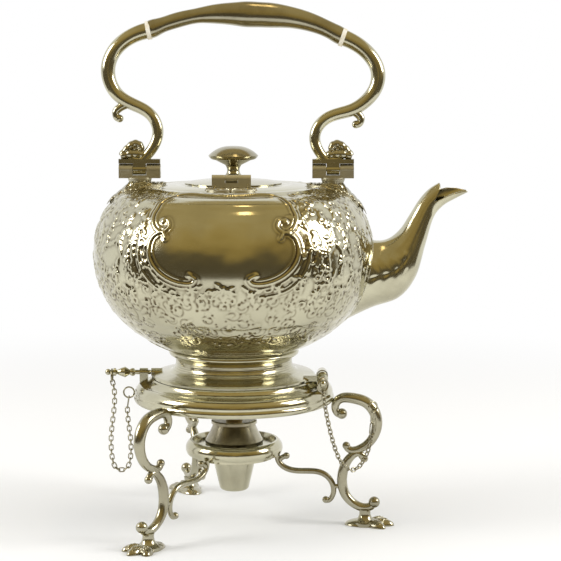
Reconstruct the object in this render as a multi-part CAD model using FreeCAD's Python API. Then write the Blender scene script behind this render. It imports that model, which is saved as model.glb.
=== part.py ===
import FreeCAD, Part
import math
import os

# Silver spirit kettle on a three-legged lampstand. Millimetres.
# Origin on the kettle's axis at the table, +X to the spout, +Z up.
Vec = FreeCAD.Vector
UP = Vec(0, 0, 1)
TO_SPOUT = Vec(1, 0, 0)
TO_BACK = Vec(0, 1, 0)

# Clearances
RUNNING_FIT = 0.05
KNUCKLE_GAP = 0.3
SEAT_GAP = 0.3
LID_CLEARANCE = 1.0
LAMP_CLEARANCE = 0.35
WICK_CLEARANCE = 0.1
LINK_PLAY = 0.2
LOCK_TIP_GAP = 0.3

# A cutting block larger than what it trims
TOOL_SIZE = 60.0

# Kettle body: a squat globe raised from sheet
WALL = 1.4
BELLY_RADIUS = 101.5
BELLY_Z = 202.0
SEAT_RADIUS = 46.0
SEAT_Z = 130.0
# Points of the outline below and above the belly: how far in from it, and how far down or up
LOWER_STOPS = ((6.0, 29.5), (22.5, 52.5))
UPPER_STOPS = ((7.5, 28.0), (28.0, 43.2))
MOUTH_RADIUS = 33.0
MOUTH_Z = 250.6
STRAINER_HOLE = 3.2
STRAINER_PITCH = 6.4
STRAINER_ROWS = 5
SEAM_ANGLE = 100.0

# Kettle foot: a waisted spool with a turned rim
NECK_RADIUS = 42.5
NECK_Z = 119.0
FOOT_RADIUS = 59.5
FOOT_Z = 109.3
FOOT_EDGE = 2.3
COLLAR_BEAD = 1.6

# Spout
SPOUT_WALL = 1.3
SPOUT_BASE_Z = 181.0
# Spout sections from inside the globe out to the beak: top point, bottom point and half width.
# A point is how far it lies beyond the belly, and its height.
SPOUT_SECTIONS = (
    ((-8.5, 212.0), (-25.5, 148.5), 25.0),
    ((2.5, 209.2), (-1.5, 160.0), 20.0),
    ((11.7, 211.0), (19.0, 167.6), 17.0),
    ((19.8, 217.9), (31.3, 183.0), 13.4),
    ((27.1, 227.8), (38.1, 206.5), 9.6),
    ((34.9, 237.4), (43.7, 225.8), 7.2),
    ((41.9, 244.6), (50.5, 234.6), 6.6),
    ((49.0, 250.9), (59.5, 240.0), 6.0),
    ((56.5, 256.0), (68.5, 244.6), 4.6),
)
BEAK_UPPER_LIP = (47.5, 251.2)
BEAK_LOWER_LIP = (67.5, 245.4)

# Lid and its hinge
LID_OVERHANG = 2.2
LID_RISE = 1.6
LID_WALL = 1.6
BEZEL_DEPTH = 5.0
BEZEL_WALL = 1.2
KNOB_RADIUS = 18.0
KNOB_TOP = 277.6
KNOB_STEM_RADIUS = 4.6
KNOB_STUD_RADIUS = 2.0
KNOB_NUT_RADIUS = 4.5
KNOB_NUT_HEIGHT = 2.6
LID_HINGE_LENGTH = 27.5
LID_BARREL_RADIUS = 2.6
LID_PIN_RADIUS = 1.1
LEAF_THICKNESS = 1.4
LID_BASE = MOUTH_Z + SEAT_GAP
LID_EDGE = MOUTH_RADIUS + LID_OVERHANG
LID_TOP = LID_BASE + LID_WALL + LID_RISE
LID_HINGE_Y = -(LID_EDGE + LID_BARREL_RADIUS + 0.9)
LID_HINGE_Z = LID_BASE + LID_BARREL_RADIUS + 3.6

# Bail handle
HINGE_Z = 261.0
LEFT_HINGE_X = -67.8
RIGHT_HINGE_X = 72.2
HINGE_LENGTH = 30.0
BARREL_RADIUS = 4.0
HANDLE_PIN_RADIUS = 1.6
CHEEK_HALF_WIDTH = 3.9
CHEEK_HEIGHT = 3.2
RING_THICKNESS = 3.0
RING_PROUD = 0.7
GRIP_END_RADIUS = 6.0
GRIP_SWELL_RADIUS = 9.2
GRIP_RIVET_RADIUS = 0.9
# Lines of the handle seen from the front, as distance from the axis and height
LEFT_ARM = ((-67.0, 267.0), (-58.6, 276.0), (-54.4, 288.0), (-59.6, 300.4), (-71.0, 307.2), (-82.0, 313.6),
            (-89.0, 325.0), (-89.4, 336.5), (-83.6, 348.0), (-73.5, 356.0), (-60.5, 360.6))
LEFT_CURL = ((-73.0, 308.3), (-81.0, 305.8), (-85.0, 301.0), (-82.0, 297.6))
LEFT_VOLUTE = ((-60.0, 267.2), (-70.0, 268.2), (-76.5, 272.5), (-73.5, 279.0), (-68.6, 277.0))
RIGHT_ARM = ((68.0, 267.0), (61.6, 274.6), (58.9, 284.0), (63.6, 294.6), (73.0, 300.2), (85.0, 303.6),
             (96.0, 310.6), (103.4, 321.6), (104.0, 332.0), (98.4, 342.6), (89.5, 350.4), (78.8, 355.6))
RIGHT_CURL = ((82.0, 302.4), (89.6, 301.0), (92.4, 296.2), (88.6, 293.4))
RIGHT_VOLUTE = ((60.0, 267.2), (72.0, 268.2), (79.0, 271.6), (77.0, 277.4), (71.6, 276.0))
ARM_RADII = (3.6, 4.0, 4.1, 4.3, 4.6, 4.9, 5.2, 5.3, 5.5, 5.9)
CURL_RADII = (3.4, 3.0, 2.3)
VOLUTE_RADII = (1.8, 2.8, 2.4, 1.8)
GRIP_LINE = ((-60.5, 360.6), (-46.0, 366.0), (-30.0, 370.2), (-8.0, 372.4), (11.0, 372.0),
             (32.0, 371.0), (50.0, 368.0), (66.0, 362.4), (78.8, 355.6))
GRIP_RADII = (GRIP_END_RADIUS, 5.5, 5.4, 7.4, GRIP_SWELL_RADIUS, 8.9, 7.4, 6.2, GRIP_END_RADIUS)

# Stand rim
RIM_RADIUS = 73.5
RIM_Z = 91.4
RIM_STEP_Z = 96.6
RIM_SHOULDER_RADIUS = 66.0
RIM_SHOULDER_Z = 104.1
RIM_BORE = 50.0
RIM_WALL = 2.2

# Stand legs
LEG_ANGLES = (-126.5, -6.5, 113.5)
FOOT_PAD_REACH = 15.0
FOOT_PAD_WIDTH = 26.0
FOOT_PAD_HEIGHT = 5.0
# Lines of a leg, a burner arm and a foot, as distance from the axis and height
UPPER_SCROLL = ((79.6, 82.4), (74.6, 87.4), (77.0, 92.8), (88.2, 94.4), (98.2, 91.0), (104.6, 81.8),
                (104.8, 71.4), (100.0, 62.0), (92.6, 56.8), (86.6, 55.8), (83.2, 58.6))
UPPER_RADII = (2.6, 3.2, 3.9, 4.2, 4.2, 3.9, 3.4, 3.0, 2.4)
LOWER_SCROLL = ((95.6, 49.8), (91.4, 53.6), (85.2, 49.4), (80.8, 40.0), (80.2, 30.0), (83.0, 21.6), (89.0, 15.6),
                (95.8, 13.0), (102.4, 14.8))
LOWER_RADII = (2.2, 2.8, 3.4, 3.7, 3.7, 3.6, 3.3, 3.2, 3.0)
LEG_BALLS = ((79.6, 82.8, 4.0), (83.0, 59.0, 2.9), (96.2, 49.6, 2.9), (103.8, 17.2, 4.2))
ARM_LINE = ((32.0, 53.0), (32.0, 49.6), (34.2, 44.2), (40.0, 40.4), (54.0, 39.2), (66.0, 37.6),
            (72.4, 31.4), (73.8, 24.2), (71.6, 18.8), (68.4, 17.2))
ARM_BAR_RADII = (2.0, 2.2, 2.2, 2.2, 2.1, 1.8)
ARM_SPUR = ((33.0, 46.0), (35.2, 48.4), (38.4, 50.0))
ARM_SPUR_RADII = (1.8, 2.0)
ARM_BALLS = ((68.0, 18.0, 2.6), (38.8, 50.2, 2.5))
ARM_STUB = (72.6, 80.6, 28.4, 1.7)
PAD_CENTRE = 100.5
TOE_SPREAD = 38.0
STEM_REACH = 97.0
STEM_RADIUS = 4.4
STEM_FOOT_RADIUS = 9.4
STEM_TOP = 11.6

# Burner
BURNER_RADIUS = 35.5
BURNER_TOP = 62.0
BURNER_BOTTOM = 49.0
BURNER_FLANGE_RADIUS = 29.5
BURNER_BORE = 17.6
BURNER_EDGE = 4.6
BURNER_DISH = 3.4
LAMP_BOTTOM = 24.0
LAMP_FOOT_RADIUS = 10.4
LAMP_WALL = 1.2
DOME_RADIUS = 21.3
DOME_TOP = 76.5
DOME_TOP_RADIUS = 15.4
WICK_TUBE_RADIUS = 6.0
WICK_TUBE_TOP = 80.5
WICK_TUBE_WALL = 0.8
WICK_PROUD = 2.5

# Locking pin on the left and hinge pin on the right
LOCK_PIN_Z = 111.8
LOCK_PIN_RADIUS = 1.7
LOCK_PIN_TIP = -61.0
LOCK_SHANK = 11.6
LOCK_NECK = 2.2
LOCK_HOME = 3.0
LOCK_BOSS_LENGTH = 8.0
LOCK_BOSS_RADIUS = 3.0
LOCK_LUG_X = -66.2
LOCK_LUG_LENGTH = 6.0
LUG_RADIUS = 4.2
HINGE_PIN_X = 64.5
HINGE_PIN_Z = 113.6
HINGE_PIN_Y = -20.0
HINGE_PIN_RADIUS = 1.7
HINGE_KNUCKLE = 7.0
HINGE_EAR = 5.0
HINGE_NECK = 7.0
# Turned handle of a pin, as distance from the end of its shank and radius
PIN_TURNING = ((0.0, 1.7), (0.6, 2.7), (2.0, 3.0), (3.4, 2.6), (4.0, 1.8), (7.4, 4.0), (10.4, 3.0),
               (13.6, 1.5), (14.2, 2.9), (15.8, 2.9))
PIN_NECK_RADIUS = 1.3
PIN_BALL = 2.3

# Chains
LINK_WIRE = 0.9
LINK_INSIDE = 3.6
LINK_WIDTH = 3.8
LONG_LINK_INSIDE = 8.6
LONG_LINK_WIDTH = 5.0
PIN_RING_RADIUS = 4.6
PIN_RING_WIRE = 1.3
FIXED_RING_RADIUS = 3.9
FIXED_RING_WIRE = 1.2
LEFT_CHAIN_LOW = 38.0
LEG_RING_REACH = 103.0
LEG_RING_ASIDE = 9.5
LEG_RING_Z = 90.0
LEG_STUB_REACH = 100.0
LEG_STUB_Z = 88.2
# Heights of the right chain at shares of its level run
RIGHT_CHAIN_SAG = ((0.07, 91.0), (0.15, 77.0), (0.27, 61.5), (0.43, 50.0), (0.60, 46.0), (0.77, 49.2),
                   (0.91, 58.5), (0.98, 70.0))

os.makedirs("parts", exist_ok=True)


def save(name, shape):
    """Write one sub-part, after making sure that it is sound."""
    assert shape.isValid(), name
    shape.exportStep("parts/" + name + ".step")
    print(name, len(shape.Solids), round(shape.Volume, 1))


def xz(point):
    return Vec(point[0], 0, point[1])


def turned(outline):
    """Turn a closed outline about Z. A third number makes a point the middle of an arc."""
    edges = []
    here = outline[0]
    middle = None
    for point in outline[1:] + outline[:1]:
        if len(point) == 3:
            middle = point
            continue
        if middle:
            edges.append(Part.Arc(xz(here), xz(middle), xz(point)).toShape())
        else:
            edges.append(Part.LineSegment(xz(here), xz(point)).toShape())
        here = point
        middle = None
    face = Part.Face(Part.Wire(edges))
    return face.revolve(Vec(0, 0, 0), UP, 360)


def rod(start, end, radius):
    axis = end - start
    return Part.makeCylinder(radius, axis.Length, start, axis)


def fused(first, *others):
    return first.fuse(list(others)).removeSplitter()


def smooth_curve(points):
    curve = Part.BSplineCurve()
    curve.interpolate(points)
    return curve


def tapered_bar(points, radii, stations=14, flatness=1.0, side=TO_BACK):
    """A round bar along a smooth line, its radius taken evenly from the given ones."""
    curve = smooth_curve(points)
    length = curve.length()
    rings = []
    for step in range(stations):
        share = step / (stations - 1)
        parameter = curve.parameterAtDistance(length * share, curve.FirstParameter)
        place = curve.value(parameter)
        along = curve.tangent(parameter)[0]
        spot = share * (len(radii) - 1)
        low = min(int(spot), len(radii) - 2)
        radius = radii[low] + (radii[low + 1] - radii[low]) * (spot - low)
        rings.append(ring_wire(place, along, radius, flatness, side))
    return Part.makeLoft(rings, True, False)


def ring_wire(place, along, radius, flatness, side):
    across = side.cross(along)
    across.normalize()
    if abs(flatness - 1.0) < 1e-6:
        circle = Part.Circle(place, along, radius)
        circle.XAxis = across
        return Part.Wire(circle.toShape())
    oval = Part.Ellipse(place + across * radius, place + side * radius * flatness, place)
    return Part.Wire(oval.toShape())


def ball(place, radius, axis=UP):
    return Part.makeSphere(radius, place, axis)


def turned_to(shape, angle):
    copy = shape.copy()
    copy.rotate(Vec(0, 0, 0), UP, angle)
    return copy


def side_arcs(heading, stops, inset):
    """Arcs that leave the globe's widest point and run on smoothly through the stops."""
    here = Vec(BELLY_RADIUS, 0, BELLY_Z)
    edges = []
    for point in stops:
        stop = xz(point)
        chord = stop - here
        side = chord - heading * chord.dot(heading)
        radius = chord.Length ** 2 / (2 * side.Length)
        centre = here + side.normalize() * radius
        outward = ((here + stop) * 0.5 - centre).normalize()
        share = (radius - inset) / radius
        first = centre + (here - centre) * share
        last = centre + (stop - centre) * share
        edges.append(Part.Arc(first, centre + outward * (radius - inset), last).toShape())
        heading = chord * (2 * chord.dot(heading) / chord.Length ** 2) - heading
        here = stop
    return edges, last


def globe(inset, top):
    """The globe as a solid, its bottom flat and a straight neck from its mouth to the given height."""
    above = [(BELLY_RADIUS - inward, BELLY_Z + rise) for inward, rise in UPPER_STOPS]
    below = [(BELLY_RADIUS - inward, BELLY_Z - drop) for inward, drop in LOWER_STOPS]
    upper, high = side_arcs(UP, above + [(MOUTH_RADIUS, MOUTH_Z)], inset)
    lower, low = side_arcs(-UP, below + [(SEAT_RADIUS, SEAT_Z)], inset)
    edges = upper + lower
    if top > high.z:
        edges.append(Part.LineSegment(high, Vec(high.x, 0, top)).toShape())
        high = Vec(high.x, 0, top)
    edges.append(Part.LineSegment(high, Vec(0, 0, high.z)).toShape())
    edges.append(Part.LineSegment(Vec(0, 0, high.z), Vec(0, 0, low.z)).toShape())
    edges.append(Part.LineSegment(Vec(0, 0, low.z), low).toShape())
    wire = Part.Wire(Part.__sortEdges__(edges))
    return turned_to(Part.Face(wire).revolve(Vec(0, 0, 0), UP, 360), SEAM_ANGLE)


def outer_globe():
    return globe(0, 0)


def leaf_prism(start, end, half_width):
    """An upright prism over a pointed leaf of the plan, from the belly to the globe's crest."""
    along = end - start
    across = UP.cross(along)
    across.normalize()
    middle = (start + end) * 0.5
    left = Part.Arc(start, middle + across * half_width, end).toShape()
    right = Part.Arc(end, middle - across * half_width, start).toShape()
    face = Part.Face(Part.Wire([left, right]))
    face.translate(UP * BELLY_Z)
    crest = outer_globe().BoundBox.ZMax
    return face.extrude(UP * (crest - BELLY_Z))


def skin(prism, thickness):
    """What a prism cuts out of a layer that lies on the globe."""
    return prism.common(globe(-thickness, MOUTH_Z + 2 * thickness)).cut(outer_globe())


def kettle_body():
    """The raised shell, open at the mouth, with strainer holes behind the spout."""
    shell = outer_globe().cut(globe(WALL, MOUTH_Z + WALL))
    for row in range(STRAINER_ROWS):
        height = SPOUT_BASE_Z + (row - (STRAINER_ROWS - 1) / 2) * STRAINER_PITCH
        for column in range(-1, 2):
            spot = Vec(MOUTH_RADIUS, column * STRAINER_PITCH, height)
            shell = shell.cut(rod(spot, spot + TO_SPOUT * BELLY_RADIUS, STRAINER_HOLE / 2))
    return largest(shell)


def oval_wire(top, bottom, half_width, inset):
    middle = (top + bottom) * 0.5
    rise = (top - bottom) * 0.5
    rise = rise * ((rise.Length - inset) / rise.Length)
    reach = TO_BACK * (half_width - inset)
    points = []
    for step in range(17):
        angle = 2 * math.pi * step / 16
        points.append(middle + rise * math.cos(angle) + reach * math.sin(angle))
    curve = Part.BSplineCurve()
    curve.interpolate(points, InitialTangent=reach, FinalTangent=reach)
    return Part.Wire(curve.toShape())


def beyond_belly(point):
    return Vec(BELLY_RADIUS + point[0], 0, point[1])


def spout_form(inset):
    wires = []
    for top, bottom, half_width in SPOUT_SECTIONS:
        wires.append(oval_wire(beyond_belly(top), beyond_belly(bottom), half_width, inset))
    return Part.makeLoft(wires, True, False)


def above_beak():
    """Everything above the slanting plane of the spout's mouth."""
    upper = beyond_belly(BEAK_UPPER_LIP)
    lower = beyond_belly(BEAK_LOWER_LIP)
    slope = (lower - upper).normalize()
    start = upper - slope * TOOL_SIZE / 2
    block = Part.makeBox(TOOL_SIZE * 2, TOOL_SIZE, TOOL_SIZE)
    block.translate(Vec(0, -TOOL_SIZE / 2, 0))
    angle = math.degrees(math.atan2(-slope.z, slope.x))
    block.rotate(Vec(0, 0, 0), TO_BACK, angle)
    block.translate(start)
    return block


def spout():
    tube = spout_form(0).cut(spout_form(SPOUT_WALL))
    return largest(tube.cut([outer_globe(), above_beak()]))


def largest(shape):
    return max(shape.Solids, key=lambda solid: solid.Volume)


def kettle_foot():
    inside = NECK_RADIUS - WALL
    spool = turned([
        (SEAT_RADIUS, SEAT_Z),
        (SEAT_RADIUS + COLLAR_BEAD, SEAT_Z - 2.0, 0),
        (SEAT_RADIUS - 0.6, SEAT_Z - 4.2),
        (NECK_RADIUS + 1.4, SEAT_Z - 5.0),
        (NECK_RADIUS, NECK_Z, 0),
        (NECK_RADIUS + 4.8, NECK_Z - 5.2),
        (FOOT_RADIUS - 1.2, FOOT_Z + FOOT_EDGE),
        (FOOT_RADIUS, FOOT_Z + FOOT_EDGE - 1.0),
        (FOOT_RADIUS, FOOT_Z),
        (FOOT_RADIUS - 4.0, FOOT_Z),
        (NECK_RADIUS + 4.0, NECK_Z - 7.2),
        (inside, NECK_Z - 1.0, 0),
        (inside + 1.0, SEAT_Z - 5.0),
        (inside + 1.0, SEAT_Z),
    ])
    socket_end = Vec(LOCK_PIN_TIP + LOCK_TIP_GAP, 0, LOCK_PIN_Z)
    socket = rod(socket_end, socket_end + TO_SPOUT * LOCK_BOSS_LENGTH, LOCK_BOSS_RADIUS)
    bore_end = socket_end + TO_SPOUT * (LOCK_HOME + 1.0)
    bore = rod(socket_end - TO_SPOUT, bore_end, LOCK_PIN_RADIUS + RUNNING_FIT)
    knuckle_low = Vec(HINGE_PIN_X, HINGE_PIN_Y - HINGE_KNUCKLE / 2, HINGE_PIN_Z)
    knuckle_high = knuckle_low + TO_BACK * HINGE_KNUCKLE
    knuckle = rod(knuckle_low, knuckle_high, LUG_RADIUS)
    web_length = HINGE_PIN_X - math.sqrt(FOOT_RADIUS ** 2 - HINGE_PIN_Y ** 2) + 5.0
    web = Part.makeBox(web_length, HINGE_KNUCKLE, LUG_RADIUS)
    web.translate(Vec(HINGE_PIN_X - web_length, knuckle_low.y, HINGE_PIN_Z - LUG_RADIUS))
    hinge_bore = rod(knuckle_low - TO_BACK, knuckle_high + TO_BACK, HINGE_PIN_RADIUS + RUNNING_FIT)
    hollow = turned([(0, FOOT_Z - 1), (inside, FOOT_Z - 1), (inside, SEAT_Z), (0, SEAT_Z)])
    under = Part.makeCylinder(RIM_RADIUS, TOOL_SIZE, Vec(0, 0, FOOT_Z - TOOL_SIZE))
    lugs = fused(socket, web, knuckle).cut([hollow, under])
    return largest(fused(spool, *lugs.Solids).cut([bore, hinge_bore]))


def lid():
    bezel = MOUTH_RADIUS - LID_CLEARANCE
    hole = KNOB_STUD_RADIUS
    crown = LID_TOP - LID_RISE * 0.2
    return turned([
        (hole, LID_TOP),
        (KNOB_STEM_RADIUS + 2.4, LID_TOP),
        (LID_EDGE * 0.6, crown - 0.3, 0),
        (LID_EDGE, LID_BASE + 0.7),
        (LID_EDGE, LID_BASE),
        (bezel, LID_BASE),
        (bezel, LID_BASE - BEZEL_DEPTH),
        (bezel - BEZEL_WALL, LID_BASE - BEZEL_DEPTH),
        (bezel - BEZEL_WALL, LID_BASE),
        (LID_EDGE * 0.5, crown - LID_WALL - 0.4, 0),
        (KNOB_STEM_RADIUS, LID_TOP - LID_WALL),
        (hole, LID_TOP - LID_WALL),
    ])


def lid_knob():
    tip = LID_TOP - LID_WALL - KNOB_NUT_HEIGHT - 0.6
    return turned([
        (0, KNOB_TOP),
        (KNOB_RADIUS * 0.66, KNOB_TOP - 2.0, 0),
        (KNOB_RADIUS, KNOB_TOP - 6.6),
        (KNOB_RADIUS * 0.93, KNOB_TOP - 8.6, 0),
        (KNOB_RADIUS * 0.76, KNOB_TOP - 9.6),
        (KNOB_STEM_RADIUS + 1.4, KNOB_TOP - 13.4),
        (KNOB_STEM_RADIUS, KNOB_TOP - 16.5, 0),
        (KNOB_STEM_RADIUS + 0.4, KNOB_TOP - 19.4),
        (KNOB_STEM_RADIUS + 2.2, LID_TOP + 1.4),
        (KNOB_STEM_RADIUS + 2.2, LID_TOP),
        (KNOB_STUD_RADIUS, LID_TOP),
        (KNOB_STUD_RADIUS, tip),
        (0, tip),
    ])


def knob_nut():
    corners = []
    low = LID_TOP - LID_WALL - KNOB_NUT_HEIGHT
    for step in range(7):
        angle = math.radians(60 * step)
        corners.append(Vec(KNOB_NUT_RADIUS * math.cos(angle), KNOB_NUT_RADIUS * math.sin(angle), low))
    nut = Part.Face(Part.makePolygon(corners)).extrude(UP * KNOB_NUT_HEIGHT)
    return nut.cut(Part.makeCylinder(KNOB_STUD_RADIUS, KNOB_NUT_HEIGHT, Vec(0, 0, low)))


def lid_hinge_pieces(lid_solid):
    """The body leaf with two outer knuckles, the lid leaf with the middle one, and the pin."""
    third = LID_HINGE_LENGTH / 3
    axis = Vec(0, LID_HINGE_Y, LID_HINGE_Z)
    half = TO_SPOUT * (LID_HINGE_LENGTH / 2)
    bore = rod(axis - half * 1.2, axis + half * 1.2, LID_PIN_RADIUS + RUNNING_FIT)
    middle_half = TO_SPOUT * (third / 2 - KNUCKLE_GAP)
    middle = rod(axis - middle_half, axis + middle_half, LID_BARREL_RADIUS)
    tab_depth = LID_BARREL_RADIUS + 9.0
    tab = Part.makeBox(third - 2 * KNUCKLE_GAP, tab_depth, LID_HINGE_Z - LID_BASE)
    tab.translate(Vec(-middle_half.x, LID_HINGE_Y, LID_BASE + LEAF_THICKNESS))
    tab_top = LID_HINGE_Z - 0.4
    trim = Part.makeBox(third * 2, tab_depth * 2, 20)
    trim.translate(Vec(-third, LID_HINGE_Y + LID_BARREL_RADIUS, tab_top))
    lid_leaf = largest(fused(middle, tab.cut(trim)).cut([lid_solid, bore]))
    knuckles = []
    for side in (-1, 1):
        near = axis + TO_SPOUT * side * (third / 2)
        far = axis + half * side
        knuckles.append(rod(near, far, LID_BARREL_RADIUS))
        block = Part.makeBox(third, LID_BARREL_RADIUS + 1.4, LID_HINGE_Z - LID_BASE + 8.0)
        block.translate(Vec(min(near.x, far.x), LID_HINGE_Y - LID_BARREL_RADIUS, LID_BASE - 8.0))
        knuckles.append(block)
    tip = Vec(0, LID_HINGE_Y - 15.0, 0)
    plate = skin(leaf_prism(tip, Vec(0, -LID_EDGE - 0.6, 0), LID_HINGE_LENGTH / 2 + 4), LEAF_THICKNESS)
    bridge = Part.makeBox(LID_HINGE_LENGTH, 1.6, LID_HINGE_Z - LID_BASE - LID_BARREL_RADIUS + 7.6)
    bridge.translate(Vec(-half.x, LID_HINGE_Y - LID_BARREL_RADIUS, LID_BASE - 8.0))
    leaf = fused(knuckles[0], *(knuckles[1:] + [bridge])).cut(outer_globe())
    body_leaf = largest(fused(leaf, *plate.Solids).cut(bore))
    pin = rod(axis - half, axis + half, LID_PIN_RADIUS)
    return body_leaf, lid_leaf, pin


def handle_bracket(hinge_x):
    """Knuckles and leaf of one handle hinge, on the shoulder of the globe."""
    axis = Vec(hinge_x, 0, HINGE_Z)
    outward = math.copysign(1, hinge_x)
    third = HINGE_LENGTH / 3
    solids = []
    for end in (-1, 1):
        near = axis + TO_SPOUT * end * (third / 2)
        far = axis + TO_SPOUT * end * (HINGE_LENGTH / 2)
        solids.append(rod(near, far, BARREL_RADIUS))
        web = Part.makeBox(third, 2 * CHEEK_HALF_WIDTH, BARREL_RADIUS)
        web.translate(Vec(min(near.x, far.x), -CHEEK_HALF_WIDTH, HINGE_Z - BARREL_RADIUS - 0.6))
        solids.append(web)
    plate = Part.makeBox(HINGE_LENGTH, 2 * CHEEK_HALF_WIDTH, 2.0)
    plate_top = HINGE_Z - BARREL_RADIUS - KNUCKLE_GAP
    plate.translate(axis + Vec(-HINGE_LENGTH / 2, -CHEEK_HALF_WIDTH, plate_top - 2.0 - HINGE_Z))
    solids.append(plate)
    neck = tapered_bar([axis - UP * 6.0, axis - UP * 11.0, axis - UP * 20.0], (8.6, 6.8, 9.0), 5, 0.75)
    solids.append(neck)
    tip = Vec(hinge_x + outward * 22.0, 0, 0)
    root = Vec(hinge_x - outward * 19.0, 0, 0)
    leaf = skin(leaf_prism(tip, root, 13.0), LEAF_THICKNESS + 0.4)
    block = fused(solids[0], *solids[1:]).cut(outer_globe())
    bore = rod(axis - TO_SPOUT * HINGE_LENGTH, axis + TO_SPOUT * HINGE_LENGTH, HANDLE_PIN_RADIUS)
    return largest(fused(block, *leaf.Solids).cut(bore))


def handle_pin(hinge_x):
    start = Vec(hinge_x - HINGE_LENGTH / 2, 0, HINGE_Z)
    return rod(start, start + TO_SPOUT * HINGE_LENGTH, HANDLE_PIN_RADIUS)


def end_direction(points):
    curve = smooth_curve([xz(point) for point in points])
    return curve.tangent(curve.LastParameter)[0]


def handle_arm(hinge_x, line, curl, volute):
    """The scrolled arm with its hinge knuckle, cut square where the ivory ring sits."""
    axis = Vec(hinge_x, 0, HINGE_Z)
    third = HINGE_LENGTH / 3
    half = TO_SPOUT * (third / 2 - KNUCKLE_GAP)
    knuckle = rod(axis - half, axis + half, BARREL_RADIUS)
    cheek = Part.makeBox(third - 2 * KNUCKLE_GAP, 2 * CHEEK_HALF_WIDTH - 0.4, BARREL_RADIUS + 1.0)
    cheek.translate(axis + Vec(-half.x, 0.2 - CHEEK_HALF_WIDTH, 0))
    plate = Part.makeBox(HINGE_LENGTH, 2 * CHEEK_HALF_WIDTH - 0.4, CHEEK_HEIGHT)
    plate.translate(axis + Vec(-HINGE_LENGTH / 2, 0.2 - CHEEK_HALF_WIDTH, BARREL_RADIUS + KNUCKLE_GAP))
    bar = tapered_bar([xz(point) for point in line], ARM_RADII, 22)
    branch = tapered_bar([xz(point) for point in curl], CURL_RADII, 7)
    scroll = tapered_bar([xz(point) for point in volute], VOLUTE_RADII, 9)
    tips = [ball(xz(curl[-1]), 2.9), ball(xz(volute[-1]), 2.4)]
    below = Part.makeBox(2 * HINGE_LENGTH, 40, 30)
    below.translate(axis + Vec(-HINGE_LENGTH, -20, BARREL_RADIUS + KNUCKLE_GAP - 30))
    upper = fused(bar, branch, scroll, *tips).cut(below)
    bore = rod(axis - half * 2, axis + half * 2, HANDLE_PIN_RADIUS + RUNNING_FIT)
    arm = fused(upper, plate, cheek, knuckle)
    return largest(arm.cut([bore, ring_blank(line), rivet(line, -1)]))


def ring_blank(line):
    """The disc of ivory between an arm and the grip."""
    along = end_direction(line)
    middle = xz(line[-1])
    half = along * (RING_THICKNESS / 2)
    return rod(middle - half, middle + half, GRIP_END_RADIUS + RING_PROUD)


def rivet(line, way):
    """A cross pin that holds the ring's tongue, on one side of the ring."""
    along = end_direction(line)
    spot = xz(line[-1]) + along * way * (RING_THICKNESS / 2 + 4.0)
    return rod(spot - TO_BACK * 5.0, spot + TO_BACK * 5.0, GRIP_RIVET_RADIUS)


def handle_grip():
    bar = tapered_bar([xz(point) for point in GRIP_LINE], GRIP_RADII, 17)
    cuts = []
    for line in (LEFT_ARM, RIGHT_ARM):
        cuts.append(ring_blank(line))
        cuts.append(rivet(line, 1))
    return largest(bar.cut(cuts))


def handle_rivets():
    pins = []
    for line in (LEFT_ARM, RIGHT_ARM):
        pins.append(rivet(line, -1))
        pins.append(rivet(line, 1))
    return Part.makeCompound(pins)


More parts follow.
